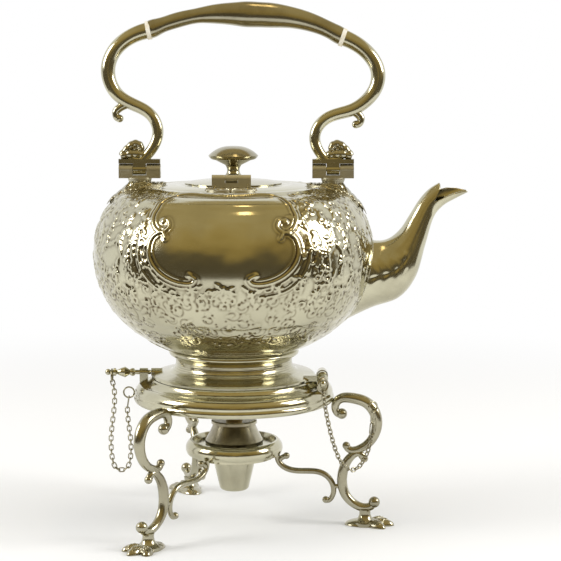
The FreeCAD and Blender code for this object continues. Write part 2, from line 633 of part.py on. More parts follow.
def stand_rim():
    """The moulded ring that carries the kettle, with the lugs of its two pins."""
    top = FOOT_Z - SEAT_GAP
    ring = turned([
        (RIM_RADIUS - 1.6, RIM_Z),
        (RIM_RADIUS, RIM_Z + 2.6, 0),
        (RIM_RADIUS - 1.0, RIM_STEP_Z),
        (RIM_RADIUS - 1.8, RIM_STEP_Z + 4.6, 0),
        (RIM_SHOULDER_RADIUS, RIM_SHOULDER_Z),
        (RIM_SHOULDER_RADIUS - 1.6, RIM_SHOULDER_Z + 0.4),
        (RIM_SHOULDER_RADIUS - 3.6, RIM_SHOULDER_Z + 1.8, 0),
        (FOOT_RADIUS + 1.6, top - 0.8),
        (FOOT_RADIUS + 0.6, top),
        (RIM_BORE, top),
        (RIM_BORE, top - RIM_WALL),
        (FOOT_RADIUS, top - RIM_WALL - 0.6),
        (RIM_SHOULDER_RADIUS - 0.6, RIM_STEP_Z + 3.0, 0),
        (RIM_RADIUS - 4.0, RIM_Z),
    ])
    eye_start = Vec(LOCK_LUG_X - LOCK_LUG_LENGTH / 2, 0, LOCK_PIN_Z)
    eye_end = eye_start + TO_SPOUT * LOCK_LUG_LENGTH
    lugs = [rod(eye_start, eye_end, LOCK_BOSS_RADIUS)]
    post = Part.makeBox(LOCK_LUG_LENGTH, 2 * LOCK_BOSS_RADIUS, LOCK_PIN_Z - RIM_STEP_Z - 4.0)
    post.translate(Vec(eye_start.x, -LOCK_BOSS_RADIUS, RIM_STEP_Z + 4.0))
    lugs.append(post)
    for way in (-1, 1):
        inner = HINGE_PIN_Y + way * (HINGE_KNUCKLE / 2 + KNUCKLE_GAP)
        outer = inner + way * HINGE_EAR
        low = min(inner, outer)
        start = Vec(HINGE_PIN_X, low, HINGE_PIN_Z)
        lugs.append(rod(start, start + TO_BACK * HINGE_EAR, LUG_RADIUS - 0.4))
        ear = Part.makeBox(2 * LUG_RADIUS - 0.8, HINGE_EAR, HINGE_PIN_Z - RIM_STEP_Z - 4.0)
        ear.translate(Vec(HINGE_PIN_X - LUG_RADIUS + 0.4, low, RIM_STEP_Z + 4.0))
        lugs.append(ear)
    clear = Part.makeCylinder(FOOT_RADIUS + 0.5, 40, Vec(0, 0, top))
    lock_bore = rod(eye_start - TO_SPOUT, eye_end + TO_SPOUT, LOCK_PIN_RADIUS + RUNNING_FIT)
    hinge_start = Vec(HINGE_PIN_X, HINGE_PIN_Y - 20, HINGE_PIN_Z)
    hinge_bore = rod(hinge_start, hinge_start + TO_BACK * 40, HINGE_PIN_RADIUS + RUNNING_FIT)
    return largest(fused(ring, *lugs).cut([clear, lock_bore, hinge_bore]))


def stand_leg(rim, pad):
    solids = [tapered_bar([xz(point) for point in UPPER_SCROLL], UPPER_RADII, 18)]
    solids.append(tapered_bar([xz(point) for point in LOWER_SCROLL], LOWER_RADII, 18))
    for reach, height, radius in LEG_BALLS:
        solids.append(ball(Vec(reach, 0, height), radius))
    return largest(fused(solids[0], *solids[1:]).cut([rim, pad]))


def foot_pad():
    """A splayed leaf with three rounded toes, flat on the table."""
    pad = lobe(PAD_CENTRE - 3.0, 0, 15.5, FOOT_PAD_WIDTH / 2 - 4.0, FOOT_PAD_HEIGHT, 0)
    toes = [foot_stem()]
    for turn in (-TOE_SPREAD, 0, TOE_SPREAD):
        reach = FOOT_PAD_REACH - 5.0 * abs(turn) / TOE_SPREAD
        out = PAD_CENTRE + reach * 0.6 * math.cos(math.radians(turn))
        aside = reach * 0.95 * math.sin(math.radians(turn))
        toes.append(lobe(out, aside, 9.0, 4.6, FOOT_PAD_HEIGHT, turn))
    below = Part.makeBox(TOOL_SIZE, TOOL_SIZE, TOOL_SIZE)
    below.translate(Vec(PAD_CENTRE - TOOL_SIZE / 2, -TOOL_SIZE / 2, -TOOL_SIZE))
    return largest(fused(pad, *toes).cut(below).removeSplitter())


def foot_stem():
    """The flared stem between a leg's lower scroll and its foot."""
    stem = turned([
        (0, 0),
        (STEM_FOOT_RADIUS, 0),
        (STEM_FOOT_RADIUS, 2.4),
        (STEM_RADIUS + 0.6, STEM_TOP * 0.5, 0),
        (STEM_RADIUS, STEM_TOP),
        (0, STEM_TOP),
    ])
    stem.translate(Vec(STEM_REACH, 0, 0))
    return stem


def lobe(out, aside, length, half_width, height, turn):
    matrix = FreeCAD.Matrix()
    matrix.scale(length, half_width, height)
    shape = Part.makeSphere(1.0).transformGeometry(matrix)
    shape.rotate(Vec(0, 0, 0), UP, turn)
    shape.translate(Vec(out, aside, 0))
    return shape


def burner_arm(burner, leg):
    bar = tapered_bar([xz(point) for point in ARM_LINE], ARM_BAR_RADII, 16)
    near, far, stub_height, stub_radius = ARM_STUB
    solids = [rod(Vec(near, 0, stub_height), Vec(far, 0, stub_height), stub_radius)]
    solids.append(tapered_bar([xz(point) for point in ARM_SPUR], ARM_SPUR_RADII, 5))
    for reach, height, radius in ARM_BALLS:
        solids.append(ball(Vec(reach, 0, height), radius, TO_BACK))
    return largest(fused(bar, *solids).cut([burner, leg]))


def burner_ring():
    seat = BURNER_TOP - BURNER_DISH
    return turned([
        (BURNER_BORE, BURNER_BOTTOM + 1.4),
        (BURNER_BORE, seat),
        (BURNER_RADIUS - BURNER_EDGE - 0.8, seat),
        (BURNER_RADIUS - BURNER_EDGE, BURNER_TOP),
        (BURNER_RADIUS - 3.0, BURNER_TOP),
        (BURNER_RADIUS, BURNER_TOP - 4.2, 0),
        (BURNER_RADIUS - 1.0, BURNER_BOTTOM + 2.6),
        (BURNER_FLANGE_RADIUS, BURNER_BOTTOM + 2.6),
        (BURNER_FLANGE_RADIUS, BURNER_BOTTOM),
        (BURNER_FLANGE_RADIUS - 3.0, BURNER_BOTTOM),
    ])


def lamp_reservoir():
    seat = BURNER_TOP - BURNER_DISH + SEAT_GAP
    top = seat + LAMP_WALL
    cup = BURNER_BORE - LAMP_CLEARANCE
    return turned([
        (DOME_RADIUS, seat),
        (DOME_RADIUS, top),
        (cup - LAMP_WALL, top),
        (cup - LAMP_WALL - 0.4, BURNER_BOTTOM),
        (LAMP_FOOT_RADIUS - 0.4, LAMP_BOTTOM + 2 * LAMP_WALL),
        (0, LAMP_BOTTOM + 2 * LAMP_WALL),
        (0, LAMP_BOTTOM),
        (LAMP_FOOT_RADIUS - 2.2, LAMP_BOTTOM),
        (LAMP_FOOT_RADIUS - 0.4, LAMP_BOTTOM + 0.8, 0),
        (LAMP_FOOT_RADIUS + 0.5, LAMP_BOTTOM + 2.6),
        (cup - 1.4, BURNER_BOTTOM - 1.0),
        (cup, BURNER_BOTTOM + 1.0),
        (cup, seat),
    ])


def burner_dome():
    base = BURNER_TOP - BURNER_DISH + SEAT_GAP + LAMP_WALL
    return turned([
        (DOME_RADIUS, base),
        (DOME_RADIUS, base + 1.6),
        (DOME_TOP_RADIUS + 2.2, (base + DOME_TOP) / 2, 0),
        (DOME_TOP_RADIUS, DOME_TOP - 3.0),
        (DOME_TOP_RADIUS + 1.4, DOME_TOP - 2.4),
        (DOME_TOP_RADIUS + 1.4, DOME_TOP - 0.6),
        (DOME_TOP_RADIUS, DOME_TOP),
        (WICK_TUBE_RADIUS, DOME_TOP),
        (WICK_TUBE_RADIUS, DOME_TOP - LAMP_WALL),
        (DOME_TOP_RADIUS - 2.0, DOME_TOP - LAMP_WALL),
        (DOME_TOP_RADIUS + 0.8, (base + DOME_TOP) / 2 - 1.0, 0),
        (DOME_RADIUS - 2.4, base),
    ])


def wick_tube():
    inside = WICK_TUBE_RADIUS - WICK_TUBE_WALL
    return turned([
        (inside, LAMP_BOTTOM + 14.0),
        (WICK_TUBE_RADIUS, LAMP_BOTTOM + 14.0),
        (WICK_TUBE_RADIUS, WICK_TUBE_TOP),
        (inside, WICK_TUBE_TOP),
    ])


def wick():
    radius = WICK_TUBE_RADIUS - WICK_TUBE_WALL - WICK_CLEARANCE
    return turned([
        (0, LAMP_BOTTOM + 5.0),
        (radius, LAMP_BOTTOM + 5.0),
        (radius, WICK_TUBE_TOP + WICK_PROUD - 1.2),
        (radius - 1.2, WICK_TUBE_TOP + WICK_PROUD),
        (0, WICK_TUBE_TOP + WICK_PROUD),
    ])


def turned_pin(shank_radius, shank, neck, tip, way):
    """A spindle-turned pin lying from its tip along the given way, with a ball at its end."""
    outline = [(0, 0), (shank_radius - 0.4, 0), (shank_radius, 0.6)]
    for along, radius in PIN_TURNING:
        outline.append((radius, shank + along))
    collar = shank + PIN_TURNING[-1][0]
    reach = math.sqrt(PIN_BALL ** 2 - PIN_NECK_RADIUS ** 2)
    outline.append((PIN_NECK_RADIUS, collar + 0.5))
    outline.append((PIN_NECK_RADIUS, collar + neck))
    outline.append((PIN_BALL, collar + neck + reach, 0))
    outline.append((0, collar + neck + reach + PIN_BALL))
    return laid(turned(outline), tip, way)


def laid(shape, tip, way):
    """Turn a shape that stands on the origin so that it lies along the given way from a tip."""
    placement = FreeCAD.Placement(tip, FreeCAD.Rotation(UP, way))
    return shape.transformed(placement.toMatrix())


def neck_spot(shank, neck, tip, way):
    """The middle of the groove that a pin's ring hangs in."""
    return tip + way * (shank + PIN_TURNING[-1][0] + (neck + 0.5) / 2)


def hung_ring(spot):
    """The middle of a ring that hangs loose on a pin's neck."""
    return spot + UP * (PIN_NECK_RADIUS + LINK_PLAY - PIN_RING_RADIUS + PIN_RING_WIRE / 2)


def ring_contact(middle, radius, wire):
    """Where the first link of a chain bears on the bottom of a ring."""
    return middle + UP * (wire / 2 + LINK_PLAY / 2 - radius)


def chain_link(middle, along, across, inside, width):
    """A stadium of round wire: its long way along the chain, its short way across."""
    bend = (width - LINK_WIRE) / 2
    straight = inside / 2 + LINK_WIRE / 2 - bend
    head = middle + along * straight
    tail = middle - along * straight
    aside = across * bend
    end = along * bend
    path = Part.Wire([
        Part.LineSegment(head - aside, tail - aside).toShape(),
        Part.Arc(tail - aside, tail - end, tail + aside).toShape(),
        Part.LineSegment(tail + aside, head + aside).toShape(),
        Part.Arc(head + aside, head + end, head - aside).toShape(),
    ])
    profile = Part.Wire(Part.Circle(head - aside, along, LINK_WIRE / 2).toShape())
    return path.makePipeShell([profile], True, True)


def chain(points, long_links, first_flat):
    """Contact points and links along a smooth line. The last links are long ones.

    Links lie flat and upright in turn, and the last one always lies flat, as its ring needs.
    """
    curve = smooth_curve(points)
    length = curve.length()
    long_pitch = LONG_LINK_INSIDE - LINK_PLAY
    plain = length - long_links * long_pitch
    odd = (long_links + int(first_flat)) % 2
    count = 2 * round((plain / (LINK_INSIDE - LINK_PLAY) - odd) / 2) + odd
    places = [plain * k / count for k in range(count + 1)]
    for extra in range(long_links):
        places.append(places[-1] + long_pitch)
    contacts = []
    for place in places:
        parameter = curve.parameterAtDistance(min(place, length), curve.FirstParameter)
        contacts.append(curve.value(parameter))
    level = points[-1] - points[0]
    flat = UP.cross(Vec(level.x, level.y, 0)).normalize()
    links = []
    for k in range(len(contacts) - 1):
        along = contacts[k + 1] - contacts[k]
        inside = along.Length + LINK_PLAY
        along.normalize()
        lies_flat = (k % 2 == 0) == first_flat
        across = flat if lies_flat else along.cross(flat)
        width = LINK_WIDTH if k < count else LONG_LINK_WIDTH
        links.append(chain_link((contacts[k] + contacts[k + 1]) * 0.5, along, across, inside, width))
    return contacts, links


def save_chain(name, points, long_links, first_flat):
    """Write a chain as two strands that part at its lowest point, and print where they turn."""
    contacts, links = chain(points, long_links, first_flat)
    lowest = min(range(len(contacts)), key=lambda k: contacts[k].z)
    save(name + "_pin_strand", Part.makeCompound(links[:lowest]))
    save(name + "_stand_strand", Part.makeCompound(links[lowest:]))
    for label, spot in (("pin end", contacts[0]), ("lowest", contacts[lowest]), ("stand end", contacts[-1])):
        print(name, label, [round(value, 3) for value in spot])


def left_chain_line(start, end):
    """Straight down from the pin's ring, round a half circle and straight up to the rim's ring."""
    middle = (start.x + end.x) / 2
    radius = (end.x - start.x) / 2
    turn = LEFT_CHAIN_LOW + radius
    points = [start, Vec(start.x, 0, (start.z + turn) / 2)]
    for step in range(5):
        angle = math.radians(45 * step)
        points.append(Vec(middle - radius * math.cos(angle), 0, turn - radius * math.sin(angle)))
    return points + [Vec(end.x, 0, (end.z + turn) / 2), end]


def right_chain_line(start, end):
    """A slack line from the hinge pin's ring to the ring on the leg."""
    points = [start]
    for share, height in RIGHT_CHAIN_SAG:
        spot = start + (end - start) * share
        points.append(Vec(spot.x, spot.y, height))
    return points + [end]


def fixed_ring(middle, axis, stub_end, holder):
    """A ring on a short stub that is soldered to what holds it."""
    ring = Part.makeTorus(FIXED_RING_RADIUS, FIXED_RING_WIRE / 2, middle, axis)
    toward = stub_end - middle
    toward = (toward - axis * toward.dot(axis)).normalize()
    stub = rod(middle + toward * FIXED_RING_RADIUS, stub_end, FIXED_RING_WIRE / 2)
    return largest(fused(ring, stub).cut(holder))


def pins_and_chains(rim, right_leg):
    lock_tip = Vec(LOCK_PIN_TIP, 0, LOCK_PIN_Z)
    save("lock_pin", turned_pin(LOCK_PIN_RADIUS, LOCK_SHANK, LOCK_NECK, lock_tip, -TO_SPOUT))
    lock_ring = hung_ring(neck_spot(LOCK_SHANK, LOCK_NECK, lock_tip, -TO_SPOUT))
    save("lock_pin_ring", Part.makeTorus(PIN_RING_RADIUS, PIN_RING_WIRE / 2, lock_ring, TO_SPOUT))
    rim_ring = Vec(-RIM_RADIUS - FIXED_RING_RADIUS, 0, RIM_STEP_Z)
    rim_stub = Vec(-RIM_RADIUS + 2.0, 0, RIM_STEP_Z)
    save("left_chain_ring", fixed_ring(rim_ring, TO_BACK, rim_stub, rim))
    start = ring_contact(lock_ring, PIN_RING_RADIUS, PIN_RING_WIRE)
    end = ring_contact(rim_ring, FIXED_RING_RADIUS, FIXED_RING_WIRE)
    save_chain("left_chain", left_chain_line(start, end), 1, False)

    far_ear = HINGE_PIN_Y + HINGE_KNUCKLE / 2 + KNUCKLE_GAP + HINGE_EAR
    hinge_tip = Vec(HINGE_PIN_X, far_ear, HINGE_PIN_Z)
    hinge_shank = HINGE_KNUCKLE + 2 * (HINGE_EAR + KNUCKLE_GAP) + KNUCKLE_GAP
    save("hinge_pin", turned_pin(HINGE_PIN_RADIUS, hinge_shank, HINGE_NECK, hinge_tip, -TO_BACK))
    hinge_ring = hung_ring(neck_spot(hinge_shank, HINGE_NECK, hinge_tip, -TO_BACK))
    leg_way = Vec(math.cos(math.radians(LEG_ANGLES[1])), math.sin(math.radians(LEG_ANGLES[1])), 0)
    leg_side = leg_way.cross(UP)
    leg_ring = leg_way * LEG_RING_REACH + leg_side * LEG_RING_ASIDE + UP * LEG_RING_Z
    leg_stub = leg_way * LEG_STUB_REACH + UP * LEG_STUB_Z
    start = ring_contact(hinge_ring, PIN_RING_RADIUS, PIN_RING_WIRE)
    end = ring_contact(leg_ring, FIXED_RING_RADIUS, FIXED_RING_WIRE)
    level = end - start
    facing = UP.cross(Vec(level.x, level.y, 0)).normalize()
    save("hinge_pin_ring", Part.makeTorus(PIN_RING_RADIUS, PIN_RING_WIRE / 2, hinge_ring, facing))
    save("right_chain_ring", fixed_ring(leg_ring, facing, leg_stub, right_leg))
    save_chain("right_chain", right_chain_line(start, end), 2, True)


def build():
    body = kettle_body()
    save("kettle_body", body)
    save("kettle_foot", kettle_foot())
    save("spout", spout())
    cover = lid()
    save("lid", cover)
    save("lid_knob", lid_knob())
    save("lid_knob_nut", knob_nut())
    body_leaf, lid_leaf, lid_pin = lid_hinge_pieces(cover)
    save("lid_hinge_body_leaf", body_leaf)
    save("lid_hinge_lid_leaf", lid_leaf)
    save("lid_hinge_pin", lid_pin)
    for name, hinge_x in (("left", LEFT_HINGE_X), ("right", RIGHT_HINGE_X)):
        save(name + "_handle_bracket", handle_bracket(hinge_x))
        save(name + "_handle_pin", handle_pin(hinge_x))
    save("left_handle_arm", handle_arm(LEFT_HINGE_X, LEFT_ARM, LEFT_CURL, LEFT_VOLUTE))
    save("right_handle_arm", handle_arm(RIGHT_HINGE_X, RIGHT_ARM, RIGHT_CURL, RIGHT_VOLUTE))
    save("handle_grip", handle_grip())
    save("left_ivory_ring", ring_blank(LEFT_ARM))
    save("right_ivory_ring", ring_blank(RIGHT_ARM))
    save("handle_rivets", handle_rivets())
    rim = stand_rim()
    save("stand_rim", rim)
    burner = burner_ring()
    save("burner_ring", burner)
    pad = foot_pad()
    leg = stand_leg(rim, pad)
    arm = burner_arm(burner, leg)
    for name, angle in zip(("front", "right", "rear"), LEG_ANGLES):
        save(name + "_foot", turned_to(pad, angle))
        save(name + "_leg", turned_to(leg, angle))
        save(name + "_burner_arm", turned_to(arm, angle))
    pins_and_chains(rim, turned_to(leg, LEG_ANGLES[1]))
    save("lamp_reservoir", lamp_reservoir())
    save("burner_dome", burner_dome())
    save("wick_tube", wick_tube())
    save("wick", wick())


build()
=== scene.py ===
# %% [markdown]
# # A chased silver spirit kettle
# The frame brings in the solids of the kettle, its stand, burner, pins and chains, already in place and
# jointed. This script dresses them: the raised and chased body, the leaves and scrolls that a silversmith
# casts and tools, the metal itself, and a plain studio to look at it in.

# %% The frame
import math
import random
import bpy
import numpy as np
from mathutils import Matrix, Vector
from mathutils.bvhtree import BVHTree


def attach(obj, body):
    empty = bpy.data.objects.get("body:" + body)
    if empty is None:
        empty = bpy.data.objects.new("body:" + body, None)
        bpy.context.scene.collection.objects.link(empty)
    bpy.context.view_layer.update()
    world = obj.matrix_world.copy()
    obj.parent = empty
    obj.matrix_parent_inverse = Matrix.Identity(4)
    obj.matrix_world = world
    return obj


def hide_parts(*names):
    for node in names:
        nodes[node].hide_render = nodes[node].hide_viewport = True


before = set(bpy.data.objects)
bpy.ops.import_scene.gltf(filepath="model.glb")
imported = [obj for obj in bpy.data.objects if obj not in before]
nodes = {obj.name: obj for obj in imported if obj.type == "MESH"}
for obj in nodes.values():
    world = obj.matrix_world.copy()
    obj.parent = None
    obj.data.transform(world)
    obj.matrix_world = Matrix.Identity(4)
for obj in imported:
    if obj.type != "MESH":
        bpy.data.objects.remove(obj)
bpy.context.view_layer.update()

MM = 0.001
print("CAD nodes:", len(nodes))

# %% [markdown]
# ## Shader helpers
# A material in Blender is a small graph of nodes. Silver, ivory, cotton, paper and the studio's walls are all
# wired from the same few nodes, so four helpers do the wiring: one for a new material, one for a node with
# some of its sockets set, one for a link between two nodes, and one for a ramp between two colours.


# %% Shader helpers
def new_material(name):
    """A material, its node tree and its main shader."""
    material = bpy.data.materials.new(name)
    material.use_nodes = True
    return material, material.node_tree, material.node_tree.nodes["Principled BSDF"]


def add_node(tree, kind, settings=()):
    """A shader node of a kind, with some of its sockets set."""
    node = tree.nodes.new("ShaderNode" + kind)
    for socket, value in dict(settings).items():
        node.inputs[socket].default_value = value
    return node


def link(tree, source, output, target, socket):
    """Join an output of one node to a socket of another."""
    tree.links.new(source.outputs[output], target.inputs[socket])


def two_colour_ramp(tree, edges, low, high):
    """A ramp from one colour to another between two edges."""
    ramp = add_node(tree, "ValToRGB")
    for stop, edge, colour in zip(ramp.color_ramp.elements, edges, (low, high)):
        stop.position = edge
        stop.color = (*colour, 1)
    return ramp


print("shader helpers ready")

# %% [markdown]
# ## Metals
# Old silver is bright where hands and cloths reach it and brown-grey in the hollows, where tarnish stays.
# It could be painted by hand, but a procedural material fits every piece and never shows a seam. One function
# makes every metal: a pale colour, a dark colour, a slow noise that drifts between them, and a fine bump for
# the marks of polishing. A chased piece also carries a layer that darkens its hollows: tarnish and painted
# shade.

# %% Metals
CLOUDS = {"Scale": 38.0, "Detail": 5.0}
CLOUD_EDGES = (0.30, 0.62)
POLISH_MARKS = {"Scale": 900.0}
POLISH_BUMP = {"Strength": 0.05, "Distance": 0.0002}
DULLER = 1.35
GLOSSIER = 0.75


def metal(name, bright, tarnish_and_shade, roughness, drift, hollow_tarnish_and_shade=False):
    """Polished metal that drifts towards its dark colour and, on a chased piece, darkens in its hollows:
    tarnish and painted shade.
    """
    material, tree, shader = new_material(name)
    shader.inputs["Metallic"].default_value = 1.0
    place = add_node(tree, "TexCoord")
    clouds = add_node(tree, "TexNoise", CLOUDS)
    link(tree, place, "Object", clouds, "Vector")
    drifted = [b + (s - b) * drift for b, s in zip(bright, tarnish_and_shade)]
    colour = two_colour_ramp(tree, CLOUD_EDGES, drifted, bright)
    link(tree, clouds, "Fac", colour, "Fac")
    # A chased piece is darkened in its hollows by a colour layer: tarnish and painted shade.
    if hollow_tarnish_and_shade:
        layer = add_node(tree, "VertexColor")
        layer.layer_name = "tarnish_and_shade"
        split = add_node(tree, "SeparateColor")
        link(tree, layer, "Color", split, "Color")
        blend = add_node(tree, "MixRGB", {"Color2": (*tarnish_and_shade, 1)})
        link(tree, split, "Red", blend, "Fac")
        link(tree, colour, "Color", blend, "Color1")
        colour = blend
    link(tree, colour, "Color", shader, "Base Color")
    span = {"To Min": roughness * DULLER, "To Max": roughness * GLOSSIER}
    gloss = add_node(tree, "MapRange", span)
    link(tree, clouds, "Fac", gloss, "Value")
    link(tree, gloss, "Result", shader, "Roughness")
    marks = add_node(tree, "TexNoise", POLISH_MARKS)
    link(tree, place, "Object", marks, "Vector")
    bump = add_node(tree, "Bump", POLISH_BUMP)
    link(tree, marks, "Fac", bump, "Height")
    link(tree, bump, "Normal", shader, "Normal")
    return material


SILVER = (0.57, 0.545, 0.40)
WORN = (0.45, 0.425, 0.315)
GREYED = (0.56, 0.54, 0.43)
SHADED_SILVER = (0.44, 0.41, 0.30)
TARNISH_AND_SHADE = (0.13, 0.10, 0.055)
BRASS = (0.55, 0.42, 0.20)
SOOT = (0.12, 0.09, 0.05)
plain_silver = metal("plain_silver", SILVER, TARNISH_AND_SHADE, roughness=0.15, drift=0.3)
cast_silver = metal("cast_silver", WORN, TARNISH_AND_SHADE, roughness=0.19, drift=0.45)
chased_silver = metal("chased_silver", SILVER, TARNISH_AND_SHADE, roughness=0.13, drift=0.2, hollow_tarnish_and_shade=True)
dull_silver = metal("dull_silver", GREYED, TARNISH_AND_SHADE, roughness=0.46, drift=0.4)
# The burner dome lies under the rim, so its silver is made darker: painted shade.
shaded_silver = metal("shaded_silver", SHADED_SILVER, TARNISH_AND_SHADE, roughness=0.22, drift=0.8)
smoked_brass = metal("smoked_brass", BRASS, SOOT, roughness=0.38, drift=0.8)
print("metals made")

# %% [markdown]
# ## Ivory and cotton
# The two rings in the handle stop heat: they are ivory-coloured and slightly waxy, with a cloudy grain.
# The wick is a plug of cotton, with off-white fibres and char between them. Both are one noise between two
# colours, with a bump from the same noise, so one function makes them. Only the scale and the gloss differ.


# %% Ivory and cotton
GRAIN_DETAIL = 6.0
GRAIN_EDGES = (0.35, 0.6)
GRAIN_BUMP = 0.0003


def soft_material(name, light, dark, roughness, scale, bump_strength):
    """A matt or waxy material, grained between two colours."""
    material, tree, shader = new_material(name)
    shader.inputs["Roughness"].default_value = roughness
    place = add_node(tree, "TexCoord")
    grain = add_node(tree, "TexNoise", {"Scale": scale, "Detail": GRAIN_DETAIL})
    link(tree, place, "Object", grain, "Vector")
    ramp = two_colour_ramp(tree, GRAIN_EDGES, dark, light)
    link(tree, grain, "Fac", ramp, "Fac")
    link(tree, ramp, "Color", shader, "Base Color")
    bump = add_node(tree, "Bump", {"Strength": bump_strength, "Distance": GRAIN_BUMP})
    link(tree, grain, "Fac", bump, "Height")
    link(tree, bump, "Normal", shader, "Normal")
    return material


PALE_IVORY = (0.86, 0.82, 0.70)
AGED_IVORY = (0.74, 0.66, 0.48)
FIBRE = (0.62, 0.57, 0.46)
CHAR = (0.09, 0.08, 0.07)
ivory = soft_material("ivory", PALE_IVORY, AGED_IVORY, roughness=0.32, scale=260.0, bump_strength=0.1)
cotton = soft_material("cotton", FIBRE, CHAR, roughness=0.9, scale=420.0, bump_strength=0.6)
print("ivory and cotton made")

# %% [markdown]
# ## Dressing the solids
# Most pieces keep their solid shape and only need their material: polished silver for turned and raised
# pieces, a slightly darker cast silver for legs, feet and chains, a dull one for the hinges on the body, and
# ivory, brass and cotton where those belong. The ends of the nodes' names tell which pieces are cast, so no
# long list is needed.

# %% Dressing the solids
CAST_ENDINGS = ("leg", "foot", "arm", "strand", "ring", "grip", "knob")


def dress(node, material):
    """Give every slot of a solid the same material."""
    slots = nodes[node].data.materials
    for index in range(len(slots)):
        slots[index] = material
    if not len(slots):
        slots.append(material)


for node in nodes:
    dress(node, cast_silver if node.endswith(CAST_ENDINGS) else plain_silver)
for node in ("kettle_foot", "burner_ring", "left_handle_arm", "right_handle_arm"):
    dress(node, plain_silver)
for node in ("left_handle_bracket", "right_handle_bracket", "lid_hinge_body_leaf", "lid_hinge_lid_leaf"):
    dress(node, dull_silver)
# The dome's darker silver is painted shade from the rim above it.
dress("burner_dome", shaded_silver)
for node in ("left_ivory_ring", "right_ivory_ring"):
    dress(node, ivory)
dress("wick_tube", smoked_brass)
dress("wick", cotton)
print("dressed", len(nodes), "nodes")

# %% [markdown]
# ## The body's outline
# The body is a turned form, so its outline is read from the solid itself and stays true if the solid changes:
# the outer points are taken in the order of their direction from the middle of the globe, and a smooth curve
# goes through them. Rows of the new surface are then spaced evenly along it.

# %% The body's outline
COLUMNS = 1280
ROWS = 400
WALL = 1.4
OUTLINE_STOPS = 48
STOP_REACH = 1.6
OUTER_SHARE = 0.9
FINE_STEPS = 4000
CLOSE = 0.01


def smooth_through(x, known_x, known_y):
    """Cubic curve through known points, evaluated at x."""
    slope = np.gradient(known_y, known_x)
    k = np.clip(np.searchsorted(known_x, x) - 1, 0, len(known_x) - 2)
    width = known_x[k + 1] - known_x[k]
    t = (x - known_x[k]) / width
    a = known_y[k] * (1 + 2 * t) * (1 - t) ** 2 + slope[k] * width * t * (1 - t) ** 2
    return a + known_y[k + 1] * t * t * (3 - 2 * t) - slope[k + 1] * width * t * t * (1 - t)


def points_of(node):
    """The points of a solid in millimetres."""
    mesh = nodes[node].data
    flat = np.empty(len(mesh.vertices) * 3)
    mesh.vertices.foreach_get("co", flat)
    return flat.reshape(-1, 3) / MM


cloud = points_of("kettle_body")
reach = np.hypot(cloud[:, 0], cloud[:, 1])
BELLY_RADIUS = reach.max()
BELLY_Z = cloud[reach.argmax(), 2]
low_z, high_z = cloud[:, 2].min(), cloud[:, 2].max()
direction = np.degrees(np.arctan2(cloud[:, 2] - BELLY_Z, reach))
distance = np.hypot(cloud[:, 2] - BELLY_Z, reach)
seat_turn = direction[cloud[:, 2] < low_z + CLOSE].max()
mouth_turn = direction[cloud[:, 2] > high_z - CLOSE].min()
turns, lengths = [], []
for turn in np.arange(seat_turn, mouth_turn + CLOSE, (mouth_turn - seat_turn) / OUTLINE_STOPS):
    near = np.abs(direction - turn) < STOP_REACH
    outer = near & (distance > distance[near].max() - OUTER_SHARE * WALL)
    order = np.argsort(direction[outer])
    turns.append(turn)
    lengths.append(np.interp(turn, direction[outer][order], distance[outer][order]))
fine = np.linspace(seat_turn, mouth_turn, FINE_STEPS)
radius = smooth_through(fine, np.array(turns), np.array(lengths))
outline_r = radius * np.cos(np.radians(fine))
outline_z = BELLY_Z + radius * np.sin(np.radians(fine))
run = np.concatenate([[0], np.cumsum(np.hypot(np.diff(outline_r), np.diff(outline_z)))])
run -= np.interp(BELLY_Z, outline_z, run)
row_v = np.linspace(run[0], run[-1], ROWS)
row_r = np.interp(row_v, run, outline_r)
row_z = np.interp(row_v, run, outline_z)
print("outline from", round(run[0], 1), "to", round(run[-1], 1), "mm along the wall")
print("belly radius", round(BELLY_RADIUS, 2))

# %% [markdown]
# ## A map of heights
# Chased work moves the metal up and down by less than a millimetre. Cutting that into a mesh by hand would be
# slow, so the relief is first drawn on a map: one height for each row and column of the body's wall, in
# millimetres. A place on it is a turn in degrees from the front and a run along the wall from the belly.
# A tool works on a small window round a place, so that a mark costs little however large the map is.

# %% A map of heights
column_turn = np.arange(COLUMNS) * 360.0 / COLUMNS - 180.0
height = np.zeros((ROWS, COLUMNS))
row_step = row_v[1] - row_v[0]


def column_at(turn):
    """The number of the column at a turn, before it is wrapped round the body."""
    return int(round((turn + 180.0) * COLUMNS / 360.0))


def window(turn, v, reach_across, reach_up):
    """Rows, columns and local millimetres of the part of the wall round a place."""
    first = max(int((v - reach_up - row_v[0]) / row_step), 0)
    last = min(int((v + reach_up - row_v[0]) / row_step) + 2, ROWS)
    rows = np.arange(first, max(last, first + 1))
    narrow = row_r[rows].min()
    span = int(math.degrees(reach_across / narrow) * COLUMNS / 360.0) + 2
    middle = column_at(turn)
    columns = np.arange(middle - span, middle + span + 1)
    away = np.radians(columns * 360.0 / COLUMNS - 180.0 - turn)
    x = away[None, :] * row_r[rows][:, None]
    y = np.repeat((row_v[rows] - v)[:, None], len(columns), axis=1)
    return np.ix_(rows, columns % COLUMNS), x, y


def raise_to(spot, form):
    """Raise the wall to a form where the form stands up, and leave the rest as it is."""
    height[spot] = np.where(form > 0, np.maximum(height[spot], form), height[spot])


print("map of", ROWS, "rows and", COLUMNS, "columns")

# %% [markdown]
# ## Line tools
# A chaser draws with a line first: a bead tool raises a rounded line, and a liner sinks one. Both need the
# distance from each point of the window to the nearest point of a line. The lines are smooth curves through a
# few points, and the most common one is the C-scroll that winds in at its end.

# %% Line tools
FAR_OFF = 1e9
BEAD_STEPS = 84
BEAD_TAIL = 0.35
SUNK_STEPS = 98
SUNK_TAIL = 0.4
SCROLL_POINTS = 14
SCROLL_SHRINK = 0.72


